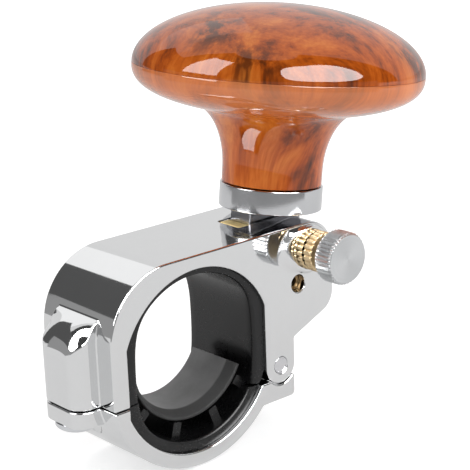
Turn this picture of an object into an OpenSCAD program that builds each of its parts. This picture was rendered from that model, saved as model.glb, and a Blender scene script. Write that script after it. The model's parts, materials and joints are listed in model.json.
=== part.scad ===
// Steering wheel spinner knob: a swivelling wood knob on a post that folds down beside a rim clamp.
// X runs along the clamp's front face, Y along the rim, and Z up towards the knob.
// The origin is the centre of the circle that the rim pad closes round.

/* [Rim opening] */
// Radius of the round opening in the metal clamp
bore_r = 18.8; // [17.5:0.1:20.5]
// Distance across the two flat sides of the opening
bore_flats = 34.9; // [33:0.1:36]
// Length of the clamp along the rim
clamp_depth = 22; // [20:0.5:26]
// How far the opening's centre lies below the pad's centre
bore_drop = 1.6; // [0.5:0.1:2]
// Thickness of the upper liner at its crown
crown_liner_t = 1.4; // [1.1:0.1:1.8]
// Thickness of both liners beside the flats
side_liner_t = 2.5; // [2:0.1:2.7]
// Thickness of the lower liner in the jaw
jaw_liner_t = 2.2; // [1.8:0.1:2.5]
// Width of the lower liner's ribs
rib_w = 2; // [1.5:0.1:3]
// How far the liners stop short of each clamp face
liner_recess = 0.95; // [0.6:0.1:2]
// Inner radius of the loose rim pad
pad_r = 12.7; // [11.5:0.1:12.8]
// Thickness of the rim pad
pad_t = 1.8; // [1.4:0.1:2]
// Width of the rim pad along the rim
pad_w = 13; // [10:0.5:15]
// How far the pad's middle sits towards the front face
pad_shift = 1.3; // [0:0.1:2]

/* [Upper clamp] */
// Metal above the opening
top_wall = 2.9; // [2.4:0.1:4]
// Metal beside the opening's left flat
left_wall = 3.75; // [3:0.05:5]
// Radius of the big left shoulder
shoulder_r = 14; // [10:0.5:15]
// Height of the parting plane below the opening's centre
part_z = 4.5; // [4:0.1:5.2]
// Gap between the two castings at the parting plane
part_gap = 0.3; // [0.2:0.05:0.5]
// Radius of the nose's upper corner
nose_corner_r = 6.8; // [5:0.1:7.5]
// Radius of the nose's lower corner
nose_chin_r = 4.5; // [3:0.1:5.5]
// Slope of the nose's underside
chin_angle = 23; // [18:1:28]
// How far the nose reaches past the fold pivot
nose_reach = 9.8; // [9.2:0.1:10.4]

/* [Jaw hinge] */
// Radius of the hinge pin
hinge_pin_r = 1.75; // [1.4:0.05:2]
// Radius of the rounded hinge ears
ear_r = 3.9; // [3.5:0.1:4.3]
// Height of the hinge pin below the opening's centre
hinge_drop = 7; // [6.6:0.1:7.6]
// Width of the jaw's knuckle between the ears
knuckle_w = 8; // [6:0.5:10]
// Thickness of the jaw's band
jaw_wall = 3; // [2.6:0.1:4]
// Height of the jaw's shoulder block below the pin
shoulder_drop = 7.5; // [7:0.1:8.5]

/* [Screw boss] */
// How far the boss stands out of the left wall
boss_out = 5.2; // [5:0.1:6]
// Width of the boss along the rim
boss_w = 12.8; // [11:0.2:15]
// Corner radius of the boss
boss_corner_r = 3.6; // [2.5:0.1:4.2]
// Height where the boss's domed top starts, above the opening's centre
boss_top = 5.5; // [3:0.1:6.5]
// Radius of the boss's domed top
boss_dome_r = 7.3; // [6.6:0.1:7.6]
// Thickness of the jaw's lug under the boss
lug_t = 3.5; // [3:0.1:4.5]
// Root radius of the clamp screw's thread
screw_r = 2; // [1.6:0.05:2.1]
// Radius of the clamp screw's head
screw_head_r = 4.35; // [4:0.05:4.5]
// Height of the clamp screw's head
screw_head_h = 2.1; // [1.6:0.1:3]
// Screw length above the parting plane
screw_grip = 4.8; // [4:0.1:5.5]

/* [Fold] */
// Distance of the fold pivot from the opening's right flat
fold_reach = 9.3; // [9:0.1:9.8]
// Depth of the fold pivot below the top face
fold_depth = 12.4; // [12:0.1:12.8]
// Radius of the rolled pivot pin
fold_pin_r = 1.8; // [1.5:0.05:2]
// Thickness of the folding tongue
tongue_t = 5.8; // [5:0.1:7]
// Half width of the tongue, and the radius of its round foot
tongue_r = 7.2; // [6.6:0.1:7.4]
// Clearance between the tongue and each cheek of the slot
tongue_gap = 0.3; // [0.2:0.05:0.4]
// Lean of the knob's axis away from the rim
lean = 6.9; // [4:0.1:8]
// Offset of the knob's axis from the fold pivot
stud_offset = 1.1; // [0.6:0.1:1.6]
// Swing of the knob from its working place to folded down
fold_swing = 80; // [70:1:82]
// Distance of the pull pin from the fold pivot
catch_reach = 7.55; // [7.3:0.05:7.8]
// Direction of the pull pin from the fold pivot
catch_angle = 67; // [64:1:70]

/* [Pull pin] */
// Radius of the pull pin's nose
nose_pin_r = 1.5; // [1.2:0.05:1.7]
// Radius of the pull pin's stem
stem_r = 1.1; // [0.9:0.05:1.2]
// Radius of the brass bush
bush_r = 4.2; // [3.9:0.1:4.6]
// Length of the bush in front of the clamp
bush_out = 4.9; // [4:0.1:6]
// Width of the groove between the bush's two bands
bush_groove = 0.5; // [0.3:0.1:0.8]
// Radius of the thumb wheel
wheel_r = 5.4; // [5:0.1:5.8]
// Thickness of the thumb wheel
wheel_t = 4.5; // [3.5:0.1:6]
// Space between the thumb wheel and the bush
wheel_space = 2; // [1.9:0.1:2.6]
// How far the pull pin slides inwards from rest
pin_in = 1.8; // [1.6:0.1:1.8]
// How far the pull pin pulls out from rest
pin_out = 3; // [2.5:0.1:3.2]

/* [Knob] */
// Radius of the knob
knob_r = 30; // [27:0.5:33]
// Height of the dome above the seam
dome_h = 13.1; // [11:0.1:15]
// Depth of the bulge below the seam
bulge_h = 9; // [8:0.1:10]
// Fullness of the bulge's curve, 2 being an ellipse
bulge_power = 2.5; // [2.2:0.1:3]
// Height of the seam above the fold pivot
seam_h = 42.8; // [42:0.1:46]
// Radius of the knob's neck
neck_r = 10.4; // [10.2:0.1:11.5]
// Radius where the neck's flare meets the bulge
flare_r = 18; // [16:0.5:20]
// Height of the ferrule's foot above the fold pivot
ferrule_z = 14.1; // [13.8:0.1:15]
// Height of the ferrule
ferrule_h = 4.9; // [4.5:0.1:5.6]
// Radius of the ferrule
ferrule_r = 10.7; // [10.3:0.1:11.5]
// Running gap between the ferrule and the knob
neck_gap = 0.3; // [0.2:0.05:0.5]
// Wall thickness of the knob's shells
shell_t = 3; // [2.4:0.1:3.2]

/* [Bearings] */
// Bore radius of the ball bearings
bearing_in_r = 3; // [2.5:0.1:3.2]
// Outer radius of the ball bearings
bearing_out_r = 8.5; // [8.2:0.1:8.7]
// Width of each ball bearing
bearing_w = 6; // [5:0.5:6]
// Radius of the balls
ball_r = 1.5; // [1.2:0.05:1.6]
// Number of balls in each bearing
ball_count = 8; // [6:1:9]

/* [Hidden] */

$fn = 96;
// Clearance of a pressed or glued seat, which carries no motion
seat_gap = 0.02;
// Radial clearance of a pin that turns in its hole
run_gap = 0.05;
// Clearance between pieces that pass each other
pass_gap = 0.3;
// Overshoot of a cutting tool past the face it cuts
over = 1;
// A length past the whole clamp on every side
far = 80;

// Clamp outline, measured from the centre of the opening
half_flats = bore_flats / 2;
half_depth = clamp_depth / 2;
top_z = bore_r + top_wall;
left_x = -half_flats - left_wall;
hinge_x = half_flats + ear_r;
ear_x = hinge_x + ear_r;
jaw_r = bore_r + jaw_wall;
shoulder_z = hinge_drop + shoulder_drop;
pocket_r = ear_r + pass_gap;
knuckle_r = ear_r - pass_gap;
// Depth of the jaw's flat lands on both sides of the pocket
jaw_land_z = hinge_drop + pocket_r * 0.7;
fold_x = half_flats + fold_reach;
fold_z = top_z - fold_depth;
nose_x = fold_x + nose_reach;
// The underside of the nose starts at the ear, this far below the pivot
chin_drop = 11.2;
chin_z = fold_z - chin_drop;

// Angles of the lower liner's ribs, and of the pad's two ends
rib_angles = [-140, -105, -70, -40];
pad_right = -28;
pad_left = 155;

// Screw boss
boss_x = left_x - boss_out;
screw_x = boss_x + screw_head_r - 0.15;
screw_hole_r = screw_r + 0.6;
lug_z = part_z + part_gap + lug_t;

// How far the rolled pin stops short of each cheek's face
fold_pin_recess = 1.7;

// Folding tongue and its slot
slot_w = tongue_t + 2 * tongue_gap;
slot_r = tongue_r + 0.4;
// Length of the stop block beside the tongue, and the height of its shelf above the pivot
stop_l = 1.65;
stop_z = 2.2;
slot_left_x = fold_x - tongue_r - stop_l;
slot_shelf_z = fold_z + stop_z;
catch_x = fold_x + catch_reach * cos(catch_angle);
catch_z = fold_z + catch_reach * sin(catch_angle);

// Pull pin stations along Y, counted from the clamp's front face outwards
bush_shank_r = nose_pin_r + 1.5;
chamber_r = nose_pin_r + 0.8;
cheek_t = half_depth - slot_w / 2;
shank_in = cheek_t - 1.9;
bush_lip = 1.2;
collar_t = 1;
collar_y = half_depth - shank_in + pin_in + 0.5;
nose_y = slot_w / 2 - 0.1;
bush_end_y = half_depth + bush_out;
wheel_y = bush_end_y + wheel_space;

// Knob heights above the fold pivot
flange_t = 3;
flange_r = ferrule_r - 1.5;
lip_r = 5;
neck_z = ferrule_z + ferrule_h + neck_gap;
flare_z = neck_z + 2.6;
shim_h = 1.2;
lower_bearing_z = ferrule_z + ferrule_h + shim_h - 0.2;
race_gap = 5.6;
upper_bearing_z = lower_bearing_z + bearing_w + race_gap;
upper_bearing_top = upper_bearing_z + bearing_w;
hub_top = upper_bearing_top + 1.9;
hub_r = neck_r + 0.6;
clip_t = 0.8;
nut_h = 4;
nut_flat_r = bearing_in_r + 2;
nut_corner_r = nut_flat_r * 1.1;
washer_t = 0.8;
washer_r = bearing_in_r + 2;
stud_top = upper_bearing_top + washer_t + nut_h + 0.8;
pitch_r = (bearing_in_r + bearing_out_r) / 2;
groove_r = ball_r + run_gap;
// Height and thickness of a ball cage
cage_h = 2 * ball_r + 1;
cage_t = 1.2;
// Distance of the races' edges from the balls' circle
race_edge = 1.15;

// Height of the curve |r/a|^n + |h/b|^n = 1 at radius r
function curve_h(r, a, b, n) = b * pow(1 - pow(min(r / a, 1), n), 1 / n);
// Points of that curve from its widest place to radius r1, closer spaced where it is steep
function rim_curve(a, b, n, r1, steps) = [
    for (i = [0:steps])
        let (u = sin(90 * i / steps), r = a + (r1 - a) * pow(u, 2))
        [r, curve_h(r, a, b, n)]
];
function lift(points, sign, z) = [for (p = points) [p[0], z + sign * p[1]]];
function reversed(points) = [for (i = [len(points) - 1:-1:0]) points[i]];

// Places a shape that is measured from the centre of the opening
module from_bore() {
    translate([0, 0, -bore_drop]) children();
}

// Extrudes a profile drawn in X and Z from y0 to y1
module across(y0, y1) {
    translate([0, y1, 0]) rotate([90, 0, 0]) linear_extrude(y1 - y0) children();
}

// A cylinder along Y from y0 to y1 at x and z
module along_y(r, y0, y1, x = 0, z = 0) {
    translate([x, y1, z]) rotate([90, 0, 0]) cylinder(r = r, h = y1 - y0);
}

// Places a shape measured from the fold pivot along the leaning knob axis
module on_tongue() {
    from_bore() translate([fold_x, 0, fold_z]) rotate([0, lean, 0]) children();
}

module on_stud() {
    on_tongue() translate([stud_offset, 0, 0]) children();
}

// Ring between two radii
module ring(r_in, r_out, h) {
    difference() {
        cylinder(r = r_out, h = h);
        translate([0, 0, -over]) cylinder(r = r_in, h = h + 2 * over);
    }
}

module box_2d(x0, z0, x1, z1) {
    translate([x0, z0]) square([x1 - x0, z1 - z0]);
}

// Round opening with two flat sides, shrunk by one inset all round and by another beside the flats
module opening_2d(inset = 0, side_inset = 0) {
    intersection() {
        circle(r = bore_r - inset);
        square([bore_flats - 2 * side_inset, 2 * bore_r + 2], center = true);
    }
}

// Everything outside a rounded corner that turns about a centre
module corner_waste_2d(cx, cz, r, sx, sz) {
    difference() {
        box_2d(min(cx, cx + sx * (r + over)), min(cz, cz + sz * (r + over)),
               max(cx, cx + sx * (r + over)), max(cz, cz + sz * (r + over)));
        circle_at(cx, cz, r);
    }
}

module circle_at(x, z, r) {
    translate([x, z]) circle(r = r);
}

// The nose's underside slopes up from the ear and rounds into its right side
module chin_waste_2d() {
    t = tan(chin_angle);
    corner_z = chin_z + t * (nose_x - ear_x);
    setback = nose_chin_r * tan((90 - chin_angle) / 2);
    polygon([[ear_x, -far], [ear_x, chin_z], [nose_x + over, corner_z + t * over], [nose_x + over, -far]]);
    difference() {
        polygon([
            [nose_x, corner_z - over],
            [nose_x + over, corner_z],
            [nose_x + over, corner_z + setback],
            [nose_x - nose_chin_r, corner_z + setback],
            [nose_x - setback * cos(chin_angle), corner_z - setback * sin(chin_angle)]
        ]);
        circle_at(nose_x - nose_chin_r, corner_z + setback, nose_chin_r);
    }
}

// Side view of the upper casting, with the hinge ear at the lower right
module upper_profile() {
    difference() {
        union() {
            difference() {
                box_2d(left_x, -part_z, nose_x, top_z);
                corner_waste_2d(left_x + shoulder_r, top_z - shoulder_r, shoulder_r, -1, 1);
                corner_waste_2d(nose_x - nose_corner_r, top_z - nose_corner_r, nose_corner_r, 1, 1);
                chin_waste_2d();
            }
            box_2d(half_flats, -hinge_drop, ear_x, 0);
            circle_at(hinge_x, -hinge_drop, ear_r);
        }
        opening_2d();
        box_2d(-half_flats, -far, half_flats, 0);
    }
}

// Slot for the folding tongue, open at the top and at the nose
module slot_profile() {
    circle_at(fold_x, fold_z, slot_r);
    box_2d(slot_left_x, slot_shelf_z, nose_x + over, top_z + over);
    box_2d(fold_x, fold_z - slot_r, nose_x + over, top_z + over);
    box_2d(fold_x + slot_r / 2, -far, nose_x + over, top_z);
}

module boss_plan(inner_x) {
    r = boss_corner_r;
    h = boss_w / 2;
    translate([boss_x + r, -h]) square([inner_x - boss_x - r, boss_w]);
    translate([boss_x, -h + r]) square([inner_x - boss_x, boss_w - 2 * r]);
    for (s = [-1, 1])
        translate([boss_x + r, s * (h - r)]) circle(r = r);
}

// Boss for the clamp screw, with a top that domes back into the wall
module screw_boss() {
    intersection() {
        translate([0, 0, -part_z]) linear_extrude(part_z + boss_top + boss_dome_r)
            boss_plan(-half_flats - 1);
        across(-half_depth, half_depth) {
            box_2d(boss_x, -part_z, -half_flats, boss_top);
            circle_at(boss_x + boss_dome_r, boss_top, boss_dome_r);
        }
    }
}

module upper_clamp() {
    color([0.8, 0.81, 0.83]) from_bore() difference() {
        union() {
            across(-half_depth, half_depth) upper_profile();
            screw_boss();
        }
        // tongue slot between the two cheeks
        across(-slot_w / 2, slot_w / 2) slot_profile();
        // room for the jaw's knuckle between the two ears
        across(-knuckle_w / 2, knuckle_w / 2) {
            circle_at(hinge_x, -hinge_drop, pocket_r + 0.1);
            box_2d(half_flats - over, -hinge_drop - ear_r - over, ear_x + over, -hinge_drop);
        }
        along_y(hinge_pin_r + seat_gap, -half_depth - over, half_depth + over, hinge_x, -hinge_drop);
        along_y(fold_pin_r + seat_gap, -half_depth - over, half_depth + over, fold_x, fold_z);
        // stepped hole for the brass bush and the pull pin's nose
        along_y(bush_shank_r + seat_gap, -half_depth - over, -half_depth + shank_in, catch_x, catch_z);
        along_y(nose_pin_r + run_gap, -half_depth, 0, catch_x, catch_z);
        // screw hole with a flared mouth
        translate([screw_x, 0, -part_z - over]) cylinder(r = screw_hole_r, h = screw_grip + 2 * over);
        translate([screw_x, 0, -part_z - 0.01]) cylinder(r1 = screw_hole_r + 0.5, r2 = screw_hole_r, h = 0.6);
    }
}

// Band of the jaw with its shoulder block under the hinge
module jaw_profile(pocket) {
    difference() {
        union() {
            circle(r = jaw_r);
            box_2d(half_flats - 3, -shoulder_z, ear_x - 0.2, -hinge_drop);
        }
        opening_2d();
        box_2d(-far, -part_z - part_gap, 0, far);
        box_2d(0, -jaw_land_z, far, far);
        corner_waste_2d(ear_x - 1.2, -shoulder_z + 1, 1, 1, -1);
        if (pocket)
            circle_at(hinge_x, -hinge_drop, pocket_r);
    }
}

module knuckle_profile() {
    circle_at(hinge_x, -hinge_drop, knuckle_r);
    box_2d(hinge_x - knuckle_r, -hinge_drop - pocket_r, hinge_x + knuckle_r, -hinge_drop);
}

module lower_jaw() {
    w = knuckle_w / 2 - pass_gap + 0.05;
    color([0.78, 0.79, 0.81]) from_bore() difference() {
        union() {
            for (s = [-1, 1])
                to_side(s) across(knuckle_w / 2 - 0.25, half_depth) jaw_profile(true);
            across(-w, w) {
                jaw_profile(false);
                knuckle_profile();
            }
            // lug that carries the screw head
            translate([0, 0, -lug_z]) linear_extrude(lug_t) difference() {
                boss_plan(-half_flats + 1);
                translate([-bore_r * cos(asin(lug_z / bore_r)), -half_depth])
                    square([bore_r, clamp_depth]);
            }
        }
        along_y(hinge_pin_r + run_gap, -half_depth - over, half_depth + over, hinge_x, -hinge_drop);
        translate([screw_x, 0, -lug_z - over]) cylinder(r = screw_r + 0.8, h = lug_t + 2 * over);
        // spot face that lets the head sit flat on the lug
        translate([screw_x, 0, -lug_z - 10]) cylinder(r = screw_head_r + 0.2, h = 10);
        // the lug's root never reaches into the opening
        across(-half_depth - over, half_depth + over) opening_2d();
    }
}

// Copies a shape to the other side of the middle plane
module to_side(s) {
    if (s < 0)
        mirror([0, 1, 0]) children();
    else
        children();
}

module hinge_pin() {
    color([0.72, 0.72, 0.74]) from_bore()
        along_y(hinge_pin_r, -half_depth + 0.1, half_depth - 0.1, hinge_x, -hinge_drop);
}

module clamp_screw() {
    color([0.75, 0.76, 0.78]) from_bore() translate([screw_x, 0, 0]) difference() {
        union() {
            translate([0, 0, -lug_z]) cylinder(r = screw_r, h = lug_z - part_z + screw_grip);
            // low domed head: a slice of a ball over a short rim
            translate([0, 0, -lug_z - 0.9]) cylinder(r = screw_head_r, h = 0.9);
            intersection() {
                translate([0, 0, -lug_z - screw_head_h]) cylinder(r = screw_head_r, h = screw_head_h);
                translate([0, 0, -lug_z - screw_head_h + 6.6]) sphere(r = 6.6);
            }
        }
        // hexagon socket
        translate([0, 0, -lug_z - screw_head_h - over]) cylinder(r = 1.75, h = 1.2 + over, $fn = 6);
    }
}

// Upper liner: follows the opening from the left parting plane over the top to the hinge ear
module upper_liner() {
    y = half_depth - liner_recess;
    color([0.09, 0.09, 0.09]) from_bore() across(-y, y) difference() {
        opening_2d(seat_gap, seat_gap);
        opening_2d(crown_liner_t, side_liner_t);
        box_2d(-far, -far, 0, -part_z);
        box_2d(0, -far, far, -jaw_land_z + pass_gap);
    }
}

// Lower liner: lies in the jaw's band, with moulded ribs that stop just short of the pad
module lower_liner() {
    y = half_depth - liner_recess;
    color([0.08, 0.08, 0.08]) {
        from_bore() across(-y, y) difference() {
            opening_2d(seat_gap, seat_gap);
            opening_2d(jaw_liner_t, side_liner_t);
            box_2d(-far, -part_z - part_gap, 0, far);
            box_2d(0, -jaw_land_z, far, far);
        }
        across(-pad_w / 2 - pad_shift, pad_w / 2 - pad_shift) intersection() {
            translate([0, -bore_drop]) opening_2d(jaw_liner_t - 0.4, side_liner_t - 0.4);
            difference() {
                union() {
                    for (a = rib_angles)
                        rotate(a) translate([0, -rib_w / 2]) square([bore_r, rib_w]);
                }
                circle(r = pad_r + pad_t + pass_gap);
            }
        }
    }
}

// Strip that packs a thin rim, on the circle at the origin
module rim_pad() {
    color([0.2, 0.2, 0.2])
        across(-pad_w / 2 - pad_shift, pad_w / 2 - pad_shift) difference() {
            circle(r = pad_r + pad_t);
            circle(r = pad_r);
            polygon([
                [0, 0],
                [far * cos(pad_right), far * sin(pad_right)],
                [far, far],
                [-far, far],
                [far * cos(pad_left), far * sin(pad_left)]
            ]);
        }
}

// Rolled pin with a slit, short of both faces
module fold_pin() {
    y = half_depth - fold_pin_recess;
    color([0.6, 0.48, 0.28]) from_bore() difference() {
        along_y(fold_pin_r, -y, y, fold_x, fold_z);
        along_y(fold_pin_r * 0.55, -half_depth, half_depth, fold_x, fold_z);
        across(-half_depth, half_depth) translate([fold_x, fold_z]) rotate(140) translate([0, -0.25])
            square([fold_pin_r + over, 0.5]);
    }
}

// Side view of the tongue, measured from the fold pivot
module tongue_profile() {
    circle(r = tongue_r);
    translate([-tongue_r, 0]) square([2 * tongue_r, ferrule_z]);
}

// Folding tongue with its round flange, a lock hole and a lock notch for the folded place
module tongue() {
    color([0.62, 0.63, 0.65]) on_tongue() difference() {
        union() {
            across(-tongue_t / 2, tongue_t / 2) tongue_profile();
            translate([stud_offset, 0, ferrule_z]) cylinder(r = flange_r, h = flange_t);
        }
        along_y(fold_pin_r + run_gap, -half_depth, half_depth);
        for (a = [catch_angle, catch_angle + fold_swing])
            rotate([0, -a - lean, 0]) translate([catch_reach, 0, 0])
                along_y(nose_pin_r + 0.15, -half_depth, 0.5);
        translate([stud_offset, 0, ferrule_z - 4]) cylinder(r = bearing_in_r - 0.5 + seat_gap, h = 10);
    }
}

// Brass block in the end of the slot that the tongue leans on
module slot_stop() {
    y = slot_w / 2 - 0.1;
    z0 = slot_shelf_z - fold_z + 0.05;
    z1 = top_z - fold_z - 0.15;
    face = tongue_r + 0.12;
    function face_x(z) = -face * cos(lean) + (z - face * sin(lean)) * tan(lean);
    color([0.8, 0.65, 0.3]) from_bore() translate([fold_x, 0, fold_z]) across(-y, y)
        polygon([
            [slot_left_x - fold_x + 0.05, z0],
            [face_x(z0), z0],
            [face_x(z1), z1],
            [slot_left_x - fold_x + 0.5, z1],
            [slot_left_x - fold_x + 0.05, z1 - 0.5]
        ]);
}

module stud() {
    color([0.6, 0.6, 0.62]) on_stud() {
        translate([0, 0, ferrule_z - 3.9]) cylinder(r = bearing_in_r - 0.5, h = 3.9 + flange_t);
        translate([0, 0, ferrule_z + flange_t])
            cylinder(r = bearing_in_r - seat_gap, h = stud_top - ferrule_z - flange_t);
    }
}

// Turned collar that caps the flange
module ferrule() {
    c = 0.4;
    color([0.72, 0.73, 0.75]) on_stud() rotate_extrude() polygon([
        [flange_r + seat_gap, ferrule_z],
        [ferrule_r - c, ferrule_z],
        [ferrule_r, ferrule_z + c],
        [ferrule_r, ferrule_z + ferrule_h - c],
        [ferrule_r - c, ferrule_z + ferrule_h],
        [lip_r, ferrule_z + ferrule_h],
        [lip_r, ferrule_z + flange_t],
        [flange_r + seat_gap, ferrule_z + flange_t]
    ]);
}

// Brass bush with two bands and a threaded shank, hollow for the spring
module plunger_bush() {
    band = (bush_out - bush_groove) / 2;
    color([0.78, 0.6, 0.3]) from_bore() difference() {
        union() {
            along_y(bush_shank_r, -half_depth, -half_depth + shank_in, catch_x, catch_z);
            along_y(bush_r, -half_depth - band, -half_depth, catch_x, catch_z);
            along_y(bush_r - 0.5, -bush_end_y + 0.1, -half_depth, catch_x, catch_z);
            along_y(bush_r, -bush_end_y, -bush_end_y + band, catch_x, catch_z);
        }
        along_y(chamber_r, -bush_end_y + bush_lip, -half_depth + shank_in + over, catch_x, catch_z);
        along_y(stem_r + run_gap, -bush_end_y - over, 0, catch_x, catch_z);
    }
}

module pull_pin() {
    color([0.7, 0.7, 0.72]) from_bore() {
        along_y(nose_pin_r, -collar_y, -nose_y, catch_x, catch_z);
        along_y(chamber_r - 0.15, -collar_y - collar_t, -collar_y, catch_x, catch_z);
        along_y(stem_r, -wheel_y - wheel_t + 1.5, -collar_y - collar_t, catch_x, catch_z);
    }
}

module thumb_wheel() {
    c = 0.5;
    color([0.75, 0.76, 0.78]) from_bore() translate([catch_x, -wheel_y, catch_z]) rotate([90, 0, 0])
        rotate_extrude() polygon([
            [stem_r + seat_gap, 0],
            [wheel_r - c, 0],
            [wheel_r, c],
            [wheel_r, wheel_t - c],
            [wheel_r - c, wheel_t],
            [0, wheel_t],
            [0, wheel_t - 1.5 + seat_gap],
            [stem_r + seat_gap, wheel_t - 1.5 + seat_gap]
        ]);
}

// Coil spring between the pull pin's collar and the bush's lip
module plunger_spring() {
    wire = 0.22;
    coil = (stem_r + chamber_r) / 2;
    turns = 5;
    sides = 6;
    per_turn = 16;
    y0 = collar_y + collar_t + wire + 0.08;
    y1 = bush_end_y - bush_lip - wire - 0.08;
    rings = turns * per_turn;
    points = [
        for (i = [0:rings], k = [0:sides - 1])
            let (
                a = 360 * i / per_turn,
                b = 360 * k / sides,
                r = coil + wire * cos(b)
            )
            [r * cos(a), -y0 - (y1 - y0) * i / rings + wire * sin(b), r * sin(a)]
    ];
    tube = [
        for (i = [0:rings - 1], k = [0:sides - 1])
            let (k2 = (k + 1) % sides)
            [i * sides + k, (i + 1) * sides + k, (i + 1) * sides + k2, i * sides + k2]
    ];
    first = [for (k = [0:sides - 1]) k];
    last = [for (k = [sides - 1:-1:0]) rings * sides + k];
    color([0.6, 0.6, 0.62]) from_bore() translate([catch_x, 0, catch_z])
        polyhedron(points, concat(tube, [first, last]));
}

module shim_washer() {
    color([0.7, 0.7, 0.7]) on_stud() translate([0, 0, ferrule_z + flange_t])
        ring(bearing_in_r, lip_r - 0.3, lower_bearing_z - ferrule_z - flange_t);
}

// Inner race, with the balls' groove
module inner_race(z) {
    color([0.66, 0.67, 0.7]) on_stud() translate([0, 0, z]) rotate_extrude() difference() {
        translate([bearing_in_r, 0]) square([pitch_r - race_edge - bearing_in_r, bearing_w]);
        translate([pitch_r, bearing_w / 2]) circle(r = groove_r, $fn = 48);
    }
}

// Outer race, with the balls' groove
module outer_race(z) {
    color([0.64, 0.65, 0.68]) on_stud() translate([0, 0, z]) rotate_extrude() difference() {
        translate([pitch_r + race_edge, 0]) square([bearing_out_r - pitch_r - race_edge, bearing_w]);
        translate([pitch_r, bearing_w / 2]) circle(r = groove_r, $fn = 48);
    }
}

module ball_set(z) {
    color([0.85, 0.85, 0.87]) on_stud() translate([0, 0, z + bearing_w / 2])
        for (i = [0:ball_count - 1])
            rotate(360 * i / ball_count) translate([pitch_r, 0, 0]) sphere(r = ball_r, $fn = 32);
}

// Ball cage: a ring with a round pocket for each ball
module cage(z) {
    color([0.75, 0.6, 0.35]) on_stud() translate([0, 0, z + bearing_w / 2]) difference() {
        translate([0, 0, -cage_h / 2]) ring(pitch_r - cage_t / 2, pitch_r + cage_t / 2, cage_h);
        for (i = [0:ball_count - 1])
            rotate([0, 90, 360 * i / ball_count]) cylinder(r = ball_r + run_gap, h = bearing_out_r);
    }
}

module lower_inner_race() { inner_race(lower_bearing_z); }
module lower_outer_race() { outer_race(lower_bearing_z); }
module lower_balls() { ball_set(lower_bearing_z); }
module lower_cage() { cage(lower_bearing_z); }
module upper_inner_race() { inner_race(upper_bearing_z); }
module upper_outer_race() { outer_race(upper_bearing_z); }
module upper_balls() { ball_set(upper_bearing_z); }
module upper_cage() { cage(upper_bearing_z); }

module inner_spacer() {
    color([0.7, 0.7, 0.72]) on_stud() translate([0, 0, lower_bearing_z + bearing_w])
        ring(bearing_in_r, bearing_in_r + 1.2, race_gap);
}

module bearing_clip() {
    color([0.45, 0.45, 0.47]) on_stud() translate([0, 0, upper_bearing_top + 0.05]) difference() {
        ring(bearing_out_r - 1, bearing_out_r + 0.45, clip_t);
        translate([0, -1.2, -over]) cube([far, 2.4, clip_t + 2 * over]);
    }
}

module lock_washer() {
    color([0.7, 0.7, 0.7]) on_stud() translate([0, 0, upper_bearing_top])
        ring(bearing_in_r, washer_r, washer_t);
}

module lock_nut() {
    color([0.7, 0.7, 0.7]) on_stud() translate([0, 0, upper_bearing_top + washer_t]) difference() {
        intersection() {
            cylinder(r = nut_flat_r / cos(30), h = nut_h, $fn = 6);
            cylinder(r = nut_corner_r, h = nut_h);
        }
        translate([0, 0, -over]) cylinder(r = bearing_in_r, h = nut_h + 2 * over);
    }
}

// Lower knob shell: straight neck, flare, bulge, and the hub that holds the outer races
module knob_shell() {
    bore = bearing_out_r + seat_gap;
    flare_h = seam_h - curve_h(flare_r, knob_r, bulge_h, bulge_power);
    inner_r = knob_r - shell_t;
    inner_b = bulge_h - shell_t;
    flare = [
        for (i = [0:12])
            let (a = 90 * i / 12)
            [flare_r - (flare_r - neck_r) * cos(a), flare_z + (flare_h - flare_z) * sin(a)]
    ];
    bulge = reversed(lift(rim_curve(knob_r, bulge_h, bulge_power, flare_r + 0.8, 18), -1, seam_h));
    hollow = lift(rim_curve(inner_r, inner_b, bulge_power, hub_r, 12), -1, seam_h);
    color([0.66, 0.3, 0.08]) on_stud() difference() {
        rotate_extrude() polygon(concat(
            [[bore, neck_z], [neck_r - 0.2, neck_z], [neck_r, neck_z + 0.2]],
            flare, bulge, hollow,
            [[hub_r, hub_top], [bore, hub_top]]
        ));
        translate([0, 0, upper_bearing_top]) cylinder(r = bearing_out_r + 0.5, h = clip_t + 0.1);
    }
    // shoulder between the two outer races
    color([0.66, 0.3, 0.08]) on_stud() translate([0, 0, lower_bearing_z + bearing_w])
        ring(bearing_out_r - 1.3, bore + 0.2, race_gap);
}

// Upper dome with a lip that plugs into the lower shell
module knob_dome() {
    outer = rim_curve(knob_r, dome_h, 2, 0, 26);
    inner = rim_curve(knob_r - shell_t, dome_h - shell_t, 2, 0, 18);
    lip_out = knob_r - shell_t - 0.7;
    lip_in = lip_out - 1.4;
    color([0.7, 0.33, 0.08]) on_stud() translate([0, 0, seam_h]) {
        rotate_extrude() polygon(concat(outer, reversed(inner)));
        translate([0, 0, -1.3]) ring(lip_in, lip_out, 1.3 + 1.6);
        ring(lip_in, knob_r - shell_t + 0.5, 1.6);
    }
}

upper_clamp();
lower_jaw();
hinge_pin();
clamp_screw();
upper_liner();
lower_liner();
rim_pad();
fold_pin();
slot_stop();
tongue();
stud();
ferrule();
plunger_bush();
pull_pin();
thumb_wheel();
plunger_spring();
shim_washer();
lower_inner_race();
lower_outer_race();
lower_balls();
lower_cage();
inner_spacer();
upper_inner_race();
upper_outer_race();
upper_balls();
upper_cage();
bearing_clip();
lock_washer();
lock_nut();
knob_shell();
knob_dome();
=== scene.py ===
"""A steering wheel spinner knob: a lacquered wood knob on a folding post and a chrome rim clamp.

Each operator makes one piece, or one group of like pieces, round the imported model.
Lengths are metres, and every surface is a function of two parameters worked out with numpy.
"""

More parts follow.
